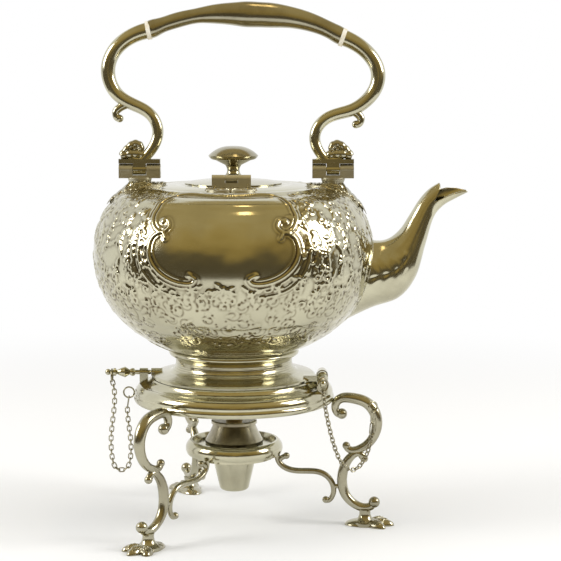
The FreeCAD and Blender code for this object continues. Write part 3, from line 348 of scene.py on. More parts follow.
def curve_through(points, count):
    """Evenly numbered points on a smooth line through a few points."""
    points = np.array(points, float)
    t = np.arange(len(points), dtype=float)
    s = np.linspace(0, len(points) - 1, count)
    return np.stack([smooth_through(s, t, points[:, 0]), smooth_through(s, t, points[:, 1])], 1)


def nearest_on(line, x, y, across=1.0):
    """Distance to a line of points, whose x may be scaled, and how far along it the nearest point lies."""
    best = np.full(x.shape, FAR_OFF)
    share = np.zeros(x.shape)
    for k, (px, py) in enumerate(line):
        gap = (x - px * across) ** 2 + (y - py) ** 2
        closer = gap < best
        best[closer] = gap[closer]
        share[closer] = k / (len(line) - 1)
    return np.sqrt(best), share


def bead_line(turn, v, points, width, rise):
    """Raise a rounded line that thins towards both ends."""
    line = curve_through(points, BEAD_STEPS)
    across, up = np.abs(line).max(axis=0) + width
    spot, x, y = window(turn, v, across, up)
    gap, share = nearest_on(line, x, y)
    wide = width * (BEAD_TAIL + (1 - BEAD_TAIL) * np.sin(np.pi * (share * 0.9 + 0.05)))
    raise_to(spot, rise * np.sqrt(np.clip(1 - (gap / wide) ** 2, 0, 1)))


def sunk_line(turn, v, points, width, depth):
    """Sink a narrow line that thins towards both ends."""
    line = curve_through(points, SUNK_STEPS)
    across, up = np.abs(line).max(axis=0) + 2 * width
    spot, x, y = window(turn, v, across, up)
    gap, share = nearest_on(line, x, y)
    wide = width * (SUNK_TAIL + (1 - SUNK_TAIL) * np.sin(np.pi * share))
    height[spot] -= depth * np.exp(-(gap / wide) ** 2)


def scroll_points(size, turns, aim, hand):
    """A C-scroll that winds in at its end, as points round its middle."""
    points = []
    for k in range(SCROLL_POINTS):
        t = k / (SCROLL_POINTS - 1)
        swing = aim + hand * turns * 2 * math.pi * t
        grow = size * (1 - SCROLL_SHRINK * t)
        points.append((grow * math.cos(swing), grow * math.sin(swing)))
    return points


print("line tools ready")

# %% [markdown]
# ## Flower and leaf punches
# Flowers and leaves come back everywhere on such a body. Each is a formula over a window: how far a point is
# from the middle and in which direction gives a flower's petals and its button, and how far it is along and
# aside gives a leaf's edge, midrib and veins. A formula can be struck at any size and turn, as a punch can.

# %% Flower and leaf punches
PETAL_WAIST = 0.60
PETAL_EDGE = 0.35
BUTTON_SIZE = 0.24
BUTTON_RISE = 0.9
RING_SLOPE = 3.2
RING_FLOOR = 0.25
LEAF_NOTCH = 0.16
LEAF_NOTCHES = 26
RIB_DEPTH = 0.55
RIB_WIDTH = 0.13
VEIN_DEPTH = 0.25
VEINS = 30
VEIN_SLANT = 7


def flower(turn, v, size, petals, twist, rise):
    """Raise a flower: rounded petals, a sunk ring and a button in the middle."""
    spot, x, y = window(turn, v, size, size)
    away = np.hypot(x, y) / size
    lobe = np.abs(np.cos(petals * (np.arctan2(y, x) + twist) / 2))
    edge = PETAL_WAIST + (1 - PETAL_WAIST) * lobe ** 0.7
    swell = PETAL_EDGE + (1 - PETAL_EDGE) * lobe
    petal = np.clip(1 - (away / edge) ** 3, 0, 1) * swell * np.clip(away * RING_SLOPE, RING_FLOOR, 1)
    button = np.sqrt(np.clip(1 - (away / BUTTON_SIZE) ** 2, 0, 1))
    raise_to(spot, rise * np.maximum(petal, BUTTON_RISE * button))


def leaf(turn, v, aim, length, width, rise):
    """Raise a pointed leaf with a sunk midrib and sloping veins."""
    spot, x, y = window(turn, v, length, length)
    along = (x * math.cos(aim) + y * math.sin(aim)) / length
    side = (y * math.cos(aim) - x * math.sin(aim)) / width
    inside = (along > 0) & (along < 1)
    edge = np.sin(np.pi * np.clip(along, 0, 1) ** 0.75) * (1 + LEAF_NOTCH * np.sin(along * LEAF_NOTCHES))
    bulge = np.clip(1 - np.abs(side) / np.maximum(edge, 1e-3), 0, 1) ** 0.6
    rib = 1 - RIB_DEPTH * np.exp(-(side / RIB_WIDTH) ** 2)
    veins = 1 - VEIN_DEPTH * np.clip(np.sin(along * VEINS - np.abs(side) * VEIN_SLANT), 0, 1)
    raise_to(spot, np.where(inside, rise * bulge * rib * veins, 0))


print("punches ready")

# %% [markdown]
# ## The frame of the cartouche
# The front carries a plain, polished shield framed by pairs of C-scrolls: two above, two below, and a fainter
# pair outside. Each scroll is a few chosen points, in degrees from the middle and millimetres along the wall,
# with a smooth line through them. The line is struck once to the left and once to the right, so the frame is
# even.

# %% The frame of the cartouche
UPPER_SCROLL = ((0.0, 62.5), (11.0, 63.5), (22.0, 64.5), (29.5, 60.0), (32.0, 46.0), (32.5, 34.5),
                (30.0, 26.0), (26.0, 22.5), (22.8, 26.5), (24.2, 31.5), (26.6, 31.0))
LOWER_SCROLL = ((23.4, 18.4), (25.6, 22.6), (29.6, 18.5), (30.6, 9.0), (28.6, 0.0), (24.0, -7.5),
                (18.0, -11.8), (12.4, -12.2), (10.4, -8.8), (12.8, -6.2))
OUTER_SCROLL = ((35.6, 19.0), (35.8, 10.0), (34.8, 1.0), (32.4, -7.5), (28.2, -14.8), (23.4, -19.2),
                (17.2, -21.6))
FRAME_STEPS = 90
FRAME_REACH = 76.0
FRAME_MARGIN = 6
FRAME_TAIL = 0.45
BESIDE_RISE = 0.45
BESIDE_GAP = 1.9
BESIDE_WIDTH = 0.4


def on_wall(pairs, hand):
    """Points given as degrees and run, as radians to one hand and run."""
    return [(hand * math.radians(turn), v) for turn, v in pairs]


def frame_line(middle, pairs, hand, width, rise):
    """A moulded line of the frame: a rounded ridge with a fine one beside it."""
    line = curve_through(on_wall(pairs, hand), FRAME_STEPS)
    v_middle = (line[:, 1].max() + line[:, 1].min()) / 2
    v_reach = (line[:, 1].max() - line[:, 1].min()) / 2 + FRAME_MARGIN
    spot, x, y = window(middle, v_middle, FRAME_REACH, v_reach)
    wall_r = row_r[spot[0][:, 0]][:, None]
    gap, share = nearest_on(line, x, y + v_middle, wall_r)
    wide = width * (FRAME_TAIL + (1 - FRAME_TAIL) * np.sin(np.pi * np.clip(share, 0.04, 0.96)) ** 0.6)
    ridge = rise * np.sqrt(np.clip(1 - (gap / wide) ** 2, 0, 1))
    beside = BESIDE_RISE * rise * np.exp(-((gap - BESIDE_GAP * wide) / (BESIDE_WIDTH * wide)) ** 2)
    height[spot] = np.maximum(height[spot], np.maximum(ridge, beside))


print("frame lines ready")

# %% [markdown]
# ## Striking the cartouches
# Leaves fringe the shield at the sides, a shell hangs below and a small crown of flowers stands above. The
# shield stays vacant: its inside is marked as plain, so that the ornament that is struck later keeps off it.
# The back is not known, so it is taken to match the front, and the same function strikes both.

# %% Striking the cartouches
FRONT = -2.5
UPPER_OVAL = (31.5, 40.0, 23.5)
LOWER_OVAL = (29.5, 8.0, 21.0)
FRINGE_LEAVES = 7
FRINGE_TURN = 37.0
FRINGE_DRIFT = 0.4
FRINGE_TOP = 22.0
FRINGE_STEP = 5.0
FRINGE_LEAN = 0.4
FIRST_LEAN = -0.2
SHELL_V = -16.0
SHELL_FAN = 0.42
SHELL_TAPER = 0.8
CROWN_V = 63.5
plain = np.zeros((ROWS, COLUMNS))


def to_hand(aim, hand):
    """A direction as it is to the right, or mirrored to the left."""
    return aim if hand > 0 else math.pi - aim


def turn_from(turn, start):
    """The way from one turn to another in degrees, between minus and plus a half turn."""
    return (turn - start + 180.0) % 360.0 - 180.0


def mark_plain(middle):
    """Mark the inside of a shield: two ovals, each with a half turn, a middle and a half height."""
    side = np.abs(turn_from(column_turn, middle))[None, :]
    v = row_v[:, None]
    half_turn, level, half_height = UPPER_OVAL
    upper = (side / half_turn) ** 5 + (np.abs(v - level) / half_height) ** 4
    half_turn, level, half_height = LOWER_OVAL
    lower = (side / half_turn) ** 3 + (np.abs(v - level) / half_height) ** 3
    plain[:] = np.maximum(plain, ((upper < 1) | (lower < 1)).astype(float))


def strike_cartouche(middle):
    """The frame of one shield, with leaves outside it, a shell below and a crown above."""
    for hand in (-1, 1):
        frame_line(middle, UPPER_SCROLL, hand, width=1.45, rise=1.0)
        frame_line(middle, LOWER_SCROLL, hand, width=1.7, rise=1.1)
        frame_line(middle, OUTER_SCROLL, hand, width=1.3, rise=0.75)
        for pairs in (UPPER_SCROLL, LOWER_SCROLL):
            turn, v = pairs[-1]
            flower(middle + hand * turn, v, size=2.6, petals=1, twist=0.0, rise=1.1)
        for k in range(FRINGE_LEAVES):
            turn = middle + hand * (FRINGE_TURN + FRINGE_DRIFT * k)
            aim = to_hand(FRINGE_LEAN * k + FIRST_LEAN, hand)
            leaf(turn, FRINGE_TOP - FRINGE_STEP * k, aim, length=7.0, width=2.2, rise=0.7)
    for k in range(-3, 4):
        aim = -math.pi / 2 + SHELL_FAN * k
        leaf(middle, SHELL_V, aim, length=13.0 - SHELL_TAPER * abs(k), width=2.6, rise=0.9)
    flower(middle, SHELL_V, size=3.4, petals=5, twist=0.3, rise=1.0)
    flower(middle, CROWN_V, size=3.2, petals=6, twist=0.0, rise=0.9)
    for hand in (-1, 1):
        leaf(middle + hand * 3.0, CROWN_V - 0.5, to_hand(0.25, hand), length=9.0, width=2.4, rise=0.7)
        flower(middle + hand * 15.0, CROWN_V + 2.0, size=2.3, petals=5, twist=0.0, rise=0.8)


for middle in (FRONT, FRONT + 180.0):
    mark_plain(middle)
    strike_cartouche(middle)
print("cartouches struck, plain share", round(plain.mean(), 3))

# %% [markdown]
# ## Places for the ornament
# Placing hundreds of small forms by hand would take days, so their places are drawn at random, with a fixed
# seed that gives the same kettle every time. A place is kept only if it is a little apart from the others.
# Nothing starts inside a plain shield or where the spout is joined.

# %% Places for the ornament
SPOUT_TURN = 90.0
SPOUT_HALF_TURN = 17.0
SPOUT_REACH = (-52.0, 12.0)
TRIES = 12
draw = random.Random(1862)


def row_at(v):
    """The number of the row at a run along the wall."""
    return int(np.clip((v - row_v[0]) / row_step, 0, ROWS - 1))


def is_open(turn, v, room):
    """True where a motif of that size stays off the shields and the spout."""
    row = row_at(v)
    spread = math.degrees(room / row_r[row])
    for step in (-1, 0, 1):
        column = column_at(turn + step * spread) % COLUMNS
        for rise in (-1, 0, 1):
            level = int(np.clip(row + rise * room / row_step, 0, ROWS - 1))
            if plain[level, column]:
                return False
    beside_spout = abs(turn_from(turn, SPOUT_TURN)) < SPOUT_HALF_TURN
    return not (beside_spout and SPOUT_REACH[0] < v < SPOUT_REACH[1])


def is_clear(turn, v, places, apart):
    """True where a place keeps its distance from all the places before it."""
    wall_r = row_r[row_at(v)]
    for other_turn, other_v in places:
        across = math.radians(turn_from(turn, other_turn)) * wall_r
        if across ** 2 + (v - other_v) ** 2 < apart ** 2:
            return False
    return True


def spaced_places(count, low, high, apart, room):
    """Up to so many random places between two heights, open and a little apart."""
    places = []
    for attempt in range(count * TRIES):
        turn = draw.uniform(-180.0, 180.0)
        v = draw.uniform(low, high)
        if is_open(turn, v, room) and is_clear(turn, v, places, apart):
            places.append((turn, v))
        if len(places) == count:
            break
    return places


print("places ready")

# %% [markdown]
# ## Flowers, leaves and scrolls
# The shoulders and sides are packed with flowers, leaves and small scrolls, and the lower wall has finer,
# sunk tendrils with dots between them. A texture of bumps could fill the ground more quickly, but it would
# not show single flowers. Here each form is struck with the tools above, at a size and turn drawn at random.

# %% Flowers, leaves and scrolls
ANY_WAY = 6.3
FLOWERS_END = -52.0
FLOWER_CHANCE = 0.55
LEAF_ROOT = 0.7
LEAF_SPREAD = 2.2
LEAF_BEND = 2.4
DOTS = 4
DOT_DEPTH = 0.4
DOT_SPREAD = 0.4
posies = spaced_places(count=150, low=-22.0, high=60.0, apart=11.5, room=3.0)
for turn, v in posies:
    size = draw.uniform(3.0, 5.2)
    petals = draw.choice((5, 5, 6))
    twist = draw.uniform(0, ANY_WAY)
    flower(turn, v, size, petals, twist, rise=draw.uniform(0.75, 1.15))
    start = draw.uniform(0, ANY_WAY)
    for k in range(draw.choice((2, 3, 3))):
        aim = start + k * LEAF_SPREAD + draw.uniform(-0.3, 0.3)
        across = math.degrees(LEAF_ROOT * size * math.cos(aim) / BELLY_RADIUS)
        length = draw.uniform(5.0, 8.5)
        width = draw.uniform(1.5, 2.4)
        leaf(turn + across, v + LEAF_ROOT * size * math.sin(aim), aim, length, width, rise=0.75)
curls = spaced_places(count=260, low=-30.0, high=62.0, apart=6.0, room=2.5)
for turn, v in curls:
    size = draw.uniform(2.4, 4.2)
    curl = scroll_points(size, draw.uniform(0.7, 1.1), draw.uniform(0, ANY_WAY), draw.choice((-1, 1)))
    width = draw.uniform(0.7, 1.05)
    bead_line(turn, v, curl, width, rise=draw.uniform(0.45, 0.75))
tendrils = spaced_places(count=190, low=-72.0, high=-24.0, apart=8.5, room=2.0)
for turn, v in tendrils:
    size = draw.uniform(4.0, 7.0)
    aim = draw.uniform(0, ANY_WAY)
    curl = scroll_points(size, draw.uniform(1.1, 1.6), aim, draw.choice((-1, 1)))
    sunk_line(turn, v, curl, width=0.6, depth=0.2)
    for k in range(DOTS):
        dot_turn = turn + math.degrees(draw.uniform(-7.0, 7.0) / BELLY_RADIUS)
        spot, x, y = window(dot_turn, v + draw.uniform(-6.0, 6.0), 2.0, 2.0)
        height[spot] -= DOT_DEPTH * np.exp(-(x ** 2 + y ** 2) / DOT_SPREAD)
    if v > FLOWERS_END and draw.random() < FLOWER_CHANCE:
        flower(turn, v + size, draw.uniform(2.0, 3.2), petals=5, twist=aim, rise=0.4)
    length = draw.uniform(4.5, 7.5)
    width = draw.uniform(1.3, 2.0)
    leaf(turn, v, aim + LEAF_BEND, length, width, rise=0.40)
print("posies", len(posies), "curls", len(curls), "tendrils", len(tendrils))

# %% [markdown]
# ## Leaves at the foot, matting, tarnish and painted shade
# Groups of leaves rise from the foot's seat, and a ring of them lies round the root of the spout. The ground
# between the raised forms is matted with a fine punch, so that the flowers stand out. The map of heights is
# then faded at both ends and softened a little, as a hammered edge is. Where the wall lies lower than its
# surroundings, is sunk or is busy with relief, the same map darkens it: tarnish and painted shade.

# %% Leaves at the foot, matting, tarnish and painted shade
FOOT_V = run[0] + 2.0
FOOT_GROUPS = (-66.0, -17.0, 46.0, 114.0, 163.0, 228.0)
FOOT_SPREAD = 2.6
FOOT_FAN = 0.36
FOOT_TAPER = 3.0
SPOUT_V = -21.0
SPOUT_LEAVES = 18
SPOUT_RING = (21.0, 30.0)
MAT_MARKS = 1500
MAT_RISE = 0.16
MAT_SPREAD = 0.32
SEAT_FADE = 4.0
MOUTH_FADE = 26.0
BUSY_HEIGHT = 0.08
BUSY_TARNISH_AND_SHADE = 0.12
HOLLOW_TARNISH_AND_SHADE = 3.6
SUNK_TARNISH_AND_SHADE = 1.8
for group in FOOT_GROUPS:
    for k in range(-2, 3):
        lean = math.pi / 2 + FOOT_FAN * k
        length = 22.0 - FOOT_TAPER * abs(k)
        leaf(group + FOOT_SPREAD * k, FOOT_V, lean, length, width=3.2, rise=0.75)
for k in range(SPOUT_LEAVES):
    aim = 2 * math.pi * k / SPOUT_LEAVES
    across = math.degrees(SPOUT_RING[0] * math.cos(aim) / BELLY_RADIUS)
    v = SPOUT_V + SPOUT_RING[1] * math.sin(aim)
    leaf(SPOUT_TURN + across, v, aim, length=10.0, width=3.2, rise=0.9)
for turn, v in spaced_places(count=MAT_MARKS, low=-30.0, high=60.0, apart=2.1, room=0.6):
    spot, x, y = window(turn, v, 1.0, 1.0)
    height[spot] += MAT_RISE * np.exp(-(x ** 2 + y ** 2) / MAT_SPREAD)


def blurred(values, span):
    """Mean over a square, wrapping round the body."""
    padded = np.pad(values, ((span, span), (0, 0)), mode="edge")
    padded = np.pad(padded, ((0, 0), (span, span)), mode="wrap")
    wide = 2 * span + 1
    total = np.insert(np.cumsum(padded, axis=0), 0, 0, axis=0)
    padded = (total[wide:] - total[:-wide]) / wide
    total = np.insert(np.cumsum(padded, axis=1), 0, 0, axis=1)
    return (total[:, wide:] - total[:, :-wide]) / wide


from_seat = np.clip((row_v - row_v[0]) / SEAT_FADE, 0, 1)
from_mouth = np.clip((row_v[-1] - row_v) / MOUTH_FADE, 0, 1)
height *= (from_seat * from_mouth)[:, None]
height = blurred(height, span=1)
# Darker where the wall is busy, lower than round about, or sunk: tarnish and painted shade.
busy = blurred((np.abs(height) > BUSY_HEIGHT).astype(float), span=6)
below = blurred(height, span=4) - height
sunk = np.clip(-height, 0, 1)
tarnish_and_shade_map = np.clip(below * HOLLOW_TARNISH_AND_SHADE + BUSY_TARNISH_AND_SHADE * busy + sunk * SUNK_TARNISH_AND_SHADE, 0, 1)
print("relief from", round(height.min(), 2), "to", round(height.max(), 2), "mm")

# %% [markdown]
# ## A surface from rings
# A raised pot is a pile of rings, so its mesh is built from rings of points: four-sided faces join each ring
# to the next, and a fan of triangles closes each end. Half a million faces would be slow to add one by one,
# so they are worked out with numpy and handed to Blender in one go. A second helper writes the layer of
# tarnish and painted shade.


# %% A surface from rings
def put(name, data):
    """A new object that shows some data, in the scene."""
    thing = bpy.data.objects.new(name, data)
    bpy.context.scene.collection.objects.link(thing)
    return thing


def surface(name, rings):
    """A smooth, closed mesh of rings of points in millimetres, with a fan at each end."""
    count = rings[0].shape[0]
    levels = len(rings)
    index = np.arange(count)
    following = (index + 1) % count
    quads = []
    for level in range(levels - 1):
        low = level * count
        high = low + count
        quads.append(np.stack([low + index, low + following, high + following, high + index], 1))
    quads = np.concatenate(quads)
    points = np.concatenate(rings + [rings[0].mean(0)[None], rings[-1].mean(0)[None]])
    first_middle, last_middle = len(points) - 2, len(points) - 1
    last = (levels - 1) * count
    first_fan = np.stack([following, index, np.full(count, first_middle)], 1)
    last_fan = np.stack([last + index, last + following, np.full(count, last_middle)], 1)
    triangles = np.concatenate([first_fan, last_fan])
    loops = np.concatenate([quads.ravel(), triangles.ravel()])
    starts = np.concatenate([np.arange(len(quads)) * 4, len(quads) * 4 + np.arange(len(triangles)) * 3])
    mesh = bpy.data.meshes.new(name)
    mesh.vertices.add(len(points))
    mesh.vertices.foreach_set("co", (points * MM).ravel())
    mesh.loops.add(len(loops))
    mesh.loops.foreach_set("vertex_index", loops.astype(np.int32))
    mesh.polygons.add(len(starts))
    mesh.polygons.foreach_set("loop_start", starts.astype(np.int32))
    mesh.polygons.foreach_set("use_smooth", np.ones(len(starts), bool))
    mesh.update(calc_edges=True)
    mesh.validate()
    return put(name, mesh)


def tarnish_and_shade_layer(piece, values):
    """Write the tarnish and painted shade of the first points into a colour layer. The rest have none."""
    layer = piece.data.color_attributes.new("tarnish_and_shade", "FLOAT_COLOR", "POINT")
    colours = np.ones((len(piece.data.vertices), 4))
    colours[:, :3] = 0
    colours[:len(values), :3] = values[:, None]
    layer.data.foreach_set("color", colours.ravel())


print("ring helpers ready")

# %% [markdown]
# ## The body
# The raised wall is one closed surface: the chased outside from the seat to the mouth, the plain inside back
# down to the bottom, and a disc that closes it. A Displace modifier could do this too, but rings of points
# built straight from the map keep every mark where it was struck. It stands in the same place as the solid
# and takes over from it on show.

# %% The body
BOTTOM_SHARES = (0.2, 0.9)
INNER_STEP = 10
INNER_TARNISH_AND_SHADE = 0.35


def ring_at(ring_radius, z):
    """A ring of points. The radius and the height are one value or one for each column."""
    turn = np.radians(column_turn)
    return np.stack([ring_radius * np.sin(turn), -ring_radius * np.cos(turn), np.full(COLUMNS, z)], 1)


slope_r = np.gradient(row_r, row_v)
slope_z = np.gradient(row_z, row_v)
rings = [ring_at(row_r[0] * share, row_z[0]) for share in BOTTOM_SHARES]
for k in range(ROWS):
    rings.append(ring_at(row_r[k] + height[k] * slope_z[k], row_z[k] - height[k] * slope_r[k]))
inner_rows = list(range(ROWS - 1, 0, -INNER_STEP))
for k in inner_rows:
    rings.append(ring_at(row_r[k] - WALL * slope_z[k], row_z[k] + WALL * slope_r[k]))
rings.append(ring_at(row_r[0] * BOTTOM_SHARES[0], row_z[0] + WALL))
body = surface("kettle_shell", rings)
# The bottom gets none of the darkening, and the inside is darkened evenly: tarnish and painted shade.
bottom_tarnish_and_shade = np.zeros(len(BOTTOM_SHARES) * COLUMNS)
inner_tarnish_and_shade = np.full((len(inner_rows) + 1) * COLUMNS, INNER_TARNISH_AND_SHADE)
tarnish_and_shade_layer(body, np.concatenate([bottom_tarnish_and_shade, tarnish_and_shade_map.ravel(), inner_tarnish_and_shade]))
body.data.materials.append(chased_silver)
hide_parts("kettle_body")
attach(body, "kettle")
print("body faces", len(body.data.polygons))

# %% [markdown]
# ## Pieces from points
# The other added pieces are small, and each is a list of points and a list of faces. Three helpers serve them
# all: one turns points and faces into a smooth object, one finds the surface of some solids, so that a piece
# can be laid on it, and one closes two grids of points into a sheet with a thickness.


# %% Pieces from points
def smooth_piece(name, points, faces):
    """A smooth object from points in metres and faces."""
    mesh = bpy.data.meshes.new(name)
    mesh.from_pydata(points, [], faces)
    mesh.polygons.foreach_set("use_smooth", [True] * len(mesh.polygons))
    return put(name, mesh)


def touch_of(*names):
    """A tree that finds the surface of some solids."""
    points, faces = [], []
    for name in names:
        mesh = nodes[name].data
        base = len(points)
        points.extend(vertex.co.copy() for vertex in mesh.vertices)
        faces.extend([base + k for k in polygon.vertices] for polygon in mesh.polygons)
    return BVHTree.FromPolygons(points, faces)


def grid_piece(name, top, bottom, rows, columns):
    """A closed sheet from two grids of points."""
    faces = []
    under = rows * columns
    for i in range(rows - 1):
        for j in range(columns - 1):
            a = i * columns + j
            faces.append((a, a + 1, a + columns + 1, a + columns))
            faces.append((under + a, under + a + columns, under + a + columns + 1, under + a + 1))
    border = list(range(columns))
    border += [i * columns + columns - 1 for i in range(1, rows)]
    border += [(rows - 1) * columns + j for j in range(columns - 2, -1, -1)]
    border += [i * columns for i in range(rows - 2, 0, -1)]
    for a, b in zip(border, border[1:] + border[:1]):
        faces.append((b, a, under + a, under + b))
    return smooth_piece(name, [tuple(point) for point in top + bottom], faces)


print("helpers for pieces ready")

# %% [markdown]
# ## One applied leaf
# Leaves on the hinge plates and the feet are cast or chased separately and soldered on. Each could be
# modelled on its own, but they are one leaf in many places. So each is a small grid that is dropped onto the
# solid below it and raised into a leaf: a notched edge, a sunk midrib and slanting veins. Its edge is let a
# little into the surface, so that no leaf floats.

# %% One applied leaf
LEAF_ROWS = 44
LEAF_COLUMNS = 23
DROP = 0.03
LET_IN = 0.08
LEAF_BACK = 0.4
NOTCH = 0.2
NOTCHES = 25
MIDRIB_DEPTH = 0.6
MIDRIB_WIDTH = 0.14
SIDE_VEIN_DEPTH = 0.35
SIDE_VEINS = 34
SIDE_SLANT = 5


def applied_leaf(name, touch, root, way, length, width, rise, rides_on, lift=0.0, climb=0.0):
    """A leaf from a root along a way, dropped onto the surface from above. Sizes are in millimetres."""
    way = Vector(way).normalized()
    up = Vector((0, 0, 1))
    across = up.cross(way).normalized()
    top, bottom = [], []
    for i in range(LEAF_ROWS):
        along = i / (LEAF_ROWS - 1)
        notched = 1 + NOTCH * math.sin(along * NOTCHES)
        edge = 0.08 + math.sin(math.pi * (0.06 + 0.94 * along) ** 0.8) * notched
        for j in range(LEAF_COLUMNS):
            side = 2 * j / (LEAF_COLUMNS - 1) - 1
            spot = (Vector(root) + way * along * length + across * side * edge * width) * MM
            hit, normal, index, gap = touch.ray_cast(spot + up * DROP, -up)
            if hit is None:
                hit, normal, index, gap = touch.find_nearest(spot)
            arch = math.sqrt(max(0.0, 1 - side * side))
            bulge = arch * min(1.0, along * 6, (1 - along) * 5)
            rib = 1 - MIDRIB_DEPTH * math.exp(-(side / MIDRIB_WIDTH) ** 2)
            veins = 1 - SIDE_VEIN_DEPTH * max(0.0, math.sin(along * SIDE_VEINS - abs(side) * SIDE_SLANT))
            sweep = climb * (1 - along) ** 3 * arch
            top.append(hit + (normal * (lift + rise * bulge * rib * veins - LET_IN) + up * sweep) * MM)
            bottom.append(hit + normal * ((lift - LEAF_BACK) * MM))
    for point in top + bottom:
        point.z = max(point.z, 0.0)
    piece = grid_piece(name, top, bottom, LEAF_ROWS, LEAF_COLUMNS)
    piece.data.materials.append(cast_silver)
    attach(piece, rides_on)


print("leaf of", LEAF_ROWS, "by", LEAF_COLUMNS, "points")

# %% [markdown]
# ## Placing the leaves
# Four leaves dress each hinge plate of the handle, five fan out on the plate of the lid's hinge, and three
# lie on each foot of the stand. Copies of one mesh would not fit the curved ground, so each leaf is made where
# it lies. The leaves on the handle's plates also climb at their roots, towards the bracket in the middle.

# %% Placing the leaves
HINGES = {"left": (-67.8, -1), "right": (72.2, 1)}
PLATE = 1.8
PLATE_Z = 240
LID_PLATE_Z = 250
LID_PLATE_Y = -43.0
LID_LEAF_STEP = 4.6
LID_LEAF_FAN = 0.5
LEG_TURNS = {"front": -126.5, "right": -6.5, "rear": 113.5}
TOE_REACH = 102.0
TOE_START = 3.0
TOE_FAN = 38.0
leaf_count = 0
touch = touch_of("kettle_body")
for name, (hinge_x, outward) in HINGES.items():
    plan = (("outer", (hinge_x + 3 * outward, 0, PLATE_Z), (outward, 0, 0), 20.0, 8.5, 9.0),
            ("inner", (hinge_x - 5 * outward, 0, PLATE_Z), (-outward, 0, 0), 15.0, 7.0, 3.5),
            ("front", (hinge_x, -4, PLATE_Z), (0, -1, 0), 10.5, 9.0, 5.0),
            ("back", (hinge_x, 4, PLATE_Z), (0, 1, 0), 10.5, 9.0, 5.0))
    for place, root, way, length, width, climb in plan:
        leaf_name = name + "_plate_leaf_" + place
        applied_leaf(leaf_name, touch, root, way, length, width, rise=1.3, rides_on="kettle",
                     lift=PLATE, climb=climb)
        leaf_count += 1
touch = touch_of("lid_hinge_body_leaf", "kettle_body")
for k in range(-2, 3):
    swing = LID_LEAF_FAN * k
    root = (LID_LEAF_STEP * k, LID_PLATE_Y, LID_PLATE_Z)
    way = (math.sin(swing), -math.cos(swing), 0)
    leaf_name = "lid_plate_leaf_%d" % (k + 2)
    applied_leaf(leaf_name, touch, root, way, length=12.0, width=3.6, rise=1.0, rides_on="kettle")
    leaf_count += 1
for name, angle in LEG_TURNS.items():
    touch = touch_of(name + "_foot")
    start = Vector((math.cos(math.radians(angle)), math.sin(math.radians(angle)), 0)) * TOE_REACH
    for k in (-1, 0, 1):
        swing = math.radians(angle + TOE_FAN * k)
        way = (math.cos(swing), math.sin(swing), 0)
        root = start + Vector(way) * TOE_START
        leaf_name = "%s_toe_leaf_%d" % (name, k + 1)
        applied_leaf(leaf_name, touch, root, way, length=9.5, width=3.2, rise=0.8, rides_on="stand")
        leaf_count += 1
print("applied leaves:", leaf_count)

# %% [markdown]
# ## The spout's form
# The spout is raised from sheet: oval sections, each set by a top, a bottom and a half width, with smooth
# curves between them. A curve with a bevel gives only round sections, so the form is a function that gives
# any point of it. Its mouth is a beak: the upper lip ends in a point over a notch, and the lower lip runs on
# as a trough, whose near rim lies lower than the far one. A chased leaf wraps the root.

# %% The spout's form
SPOUT_SECTIONS = np.array((
    (-8.5, 212.0, -25.5, 148.5, 25.0), (2.5, 209.2, -1.5, 160.0, 20.0), (11.7, 211.0, 19.0, 167.6, 17.0),
    (19.8, 217.9, 31.3, 183.0, 13.4), (26.5, 228.3, 38.1, 206.5, 9.6), (33.2, 239.0, 43.7, 225.8, 7.2),
    (40.0, 246.6, 50.5, 234.6, 6.6), (48.4, 251.9, 59.5, 240.0, 6.0), (56.5, 256.0, 68.5, 244.6, 4.6)))
LIP_CUT = np.array(((237.4, 43.7), (246.9, 47.8), (251.2, 47.5)))
NEAR_RIM = np.array(((43.7, 237.4), (51.3, 240.8), (58.1, 243.6), (67.0, 245.4)))
FAR_RIM = np.array(((43.7, 243.0), (47.8, 246.1), (53.3, 247.5), (60.2, 247.1), (67.0, 245.4)))
ROOT_LEAF_REACH = 3.4
ROOT_LEAF_HALF_TURN = 1.05
ROOT_LEAF_HEIGHT = 0.5
ROOT_LEAF_SOFT_EDGE = 0.14
ROOT_LEAF_RIB = 0.07
ROOT_LEAF_LOBES = 9
ROOT_LEAF_VEINS = 11
ROOT_LEAF_SLANT = 9
STATIONS = np.arange(len(SPOUT_SECTIONS), dtype=float)
SEARCH = np.linspace(0, STATIONS[-1], 2401)


def spout_points(t, turn, inset):
    """Points of the spout, t sections along it and a turn round it from its top, in millimetres."""
    top_x, top_z, low_x, low_z, half = [smooth_through(t, STATIONS, column) for column in SPOUT_SECTIONS.T]
    share = (1 - 2 * inset / np.hypot(top_x - low_x, top_z - low_z)) * math.cos(turn)
    x = BELLY_RADIUS + (top_x + low_x) / 2 + (top_x - low_x) / 2 * share
    z = (top_z + low_z) / 2 + (top_z - low_z) / 2 * share
    return np.stack([x, (half - inset) * math.sin(turn), z], axis=1)


def leaves_body(turn, inset, depth):
    """How many sections along a line of the spout stands out from a depth under the body's outside."""
    x, y, z = spout_points(SEARCH, turn, inset).T
    return SEARCH[np.argmax(np.hypot(x, y) > np.interp(z, outline_z, outline_r) - depth)]


def meets_mouth(turn):
    """How many sections along a line of the spout reaches the edge of the mouth."""
    x, y, z = spout_points(SEARCH, turn, 0).T
    x = x - BELLY_RADIUS
    rim = np.where(y < 0, np.interp(x, *NEAR_RIM.T), np.interp(x, *FAR_RIM.T))
    open_here = (x > np.interp(z, *LIP_CUT.T)) & (z > rim)
    open_here[-1] = True
    return SEARCH[np.argmax(open_here)]


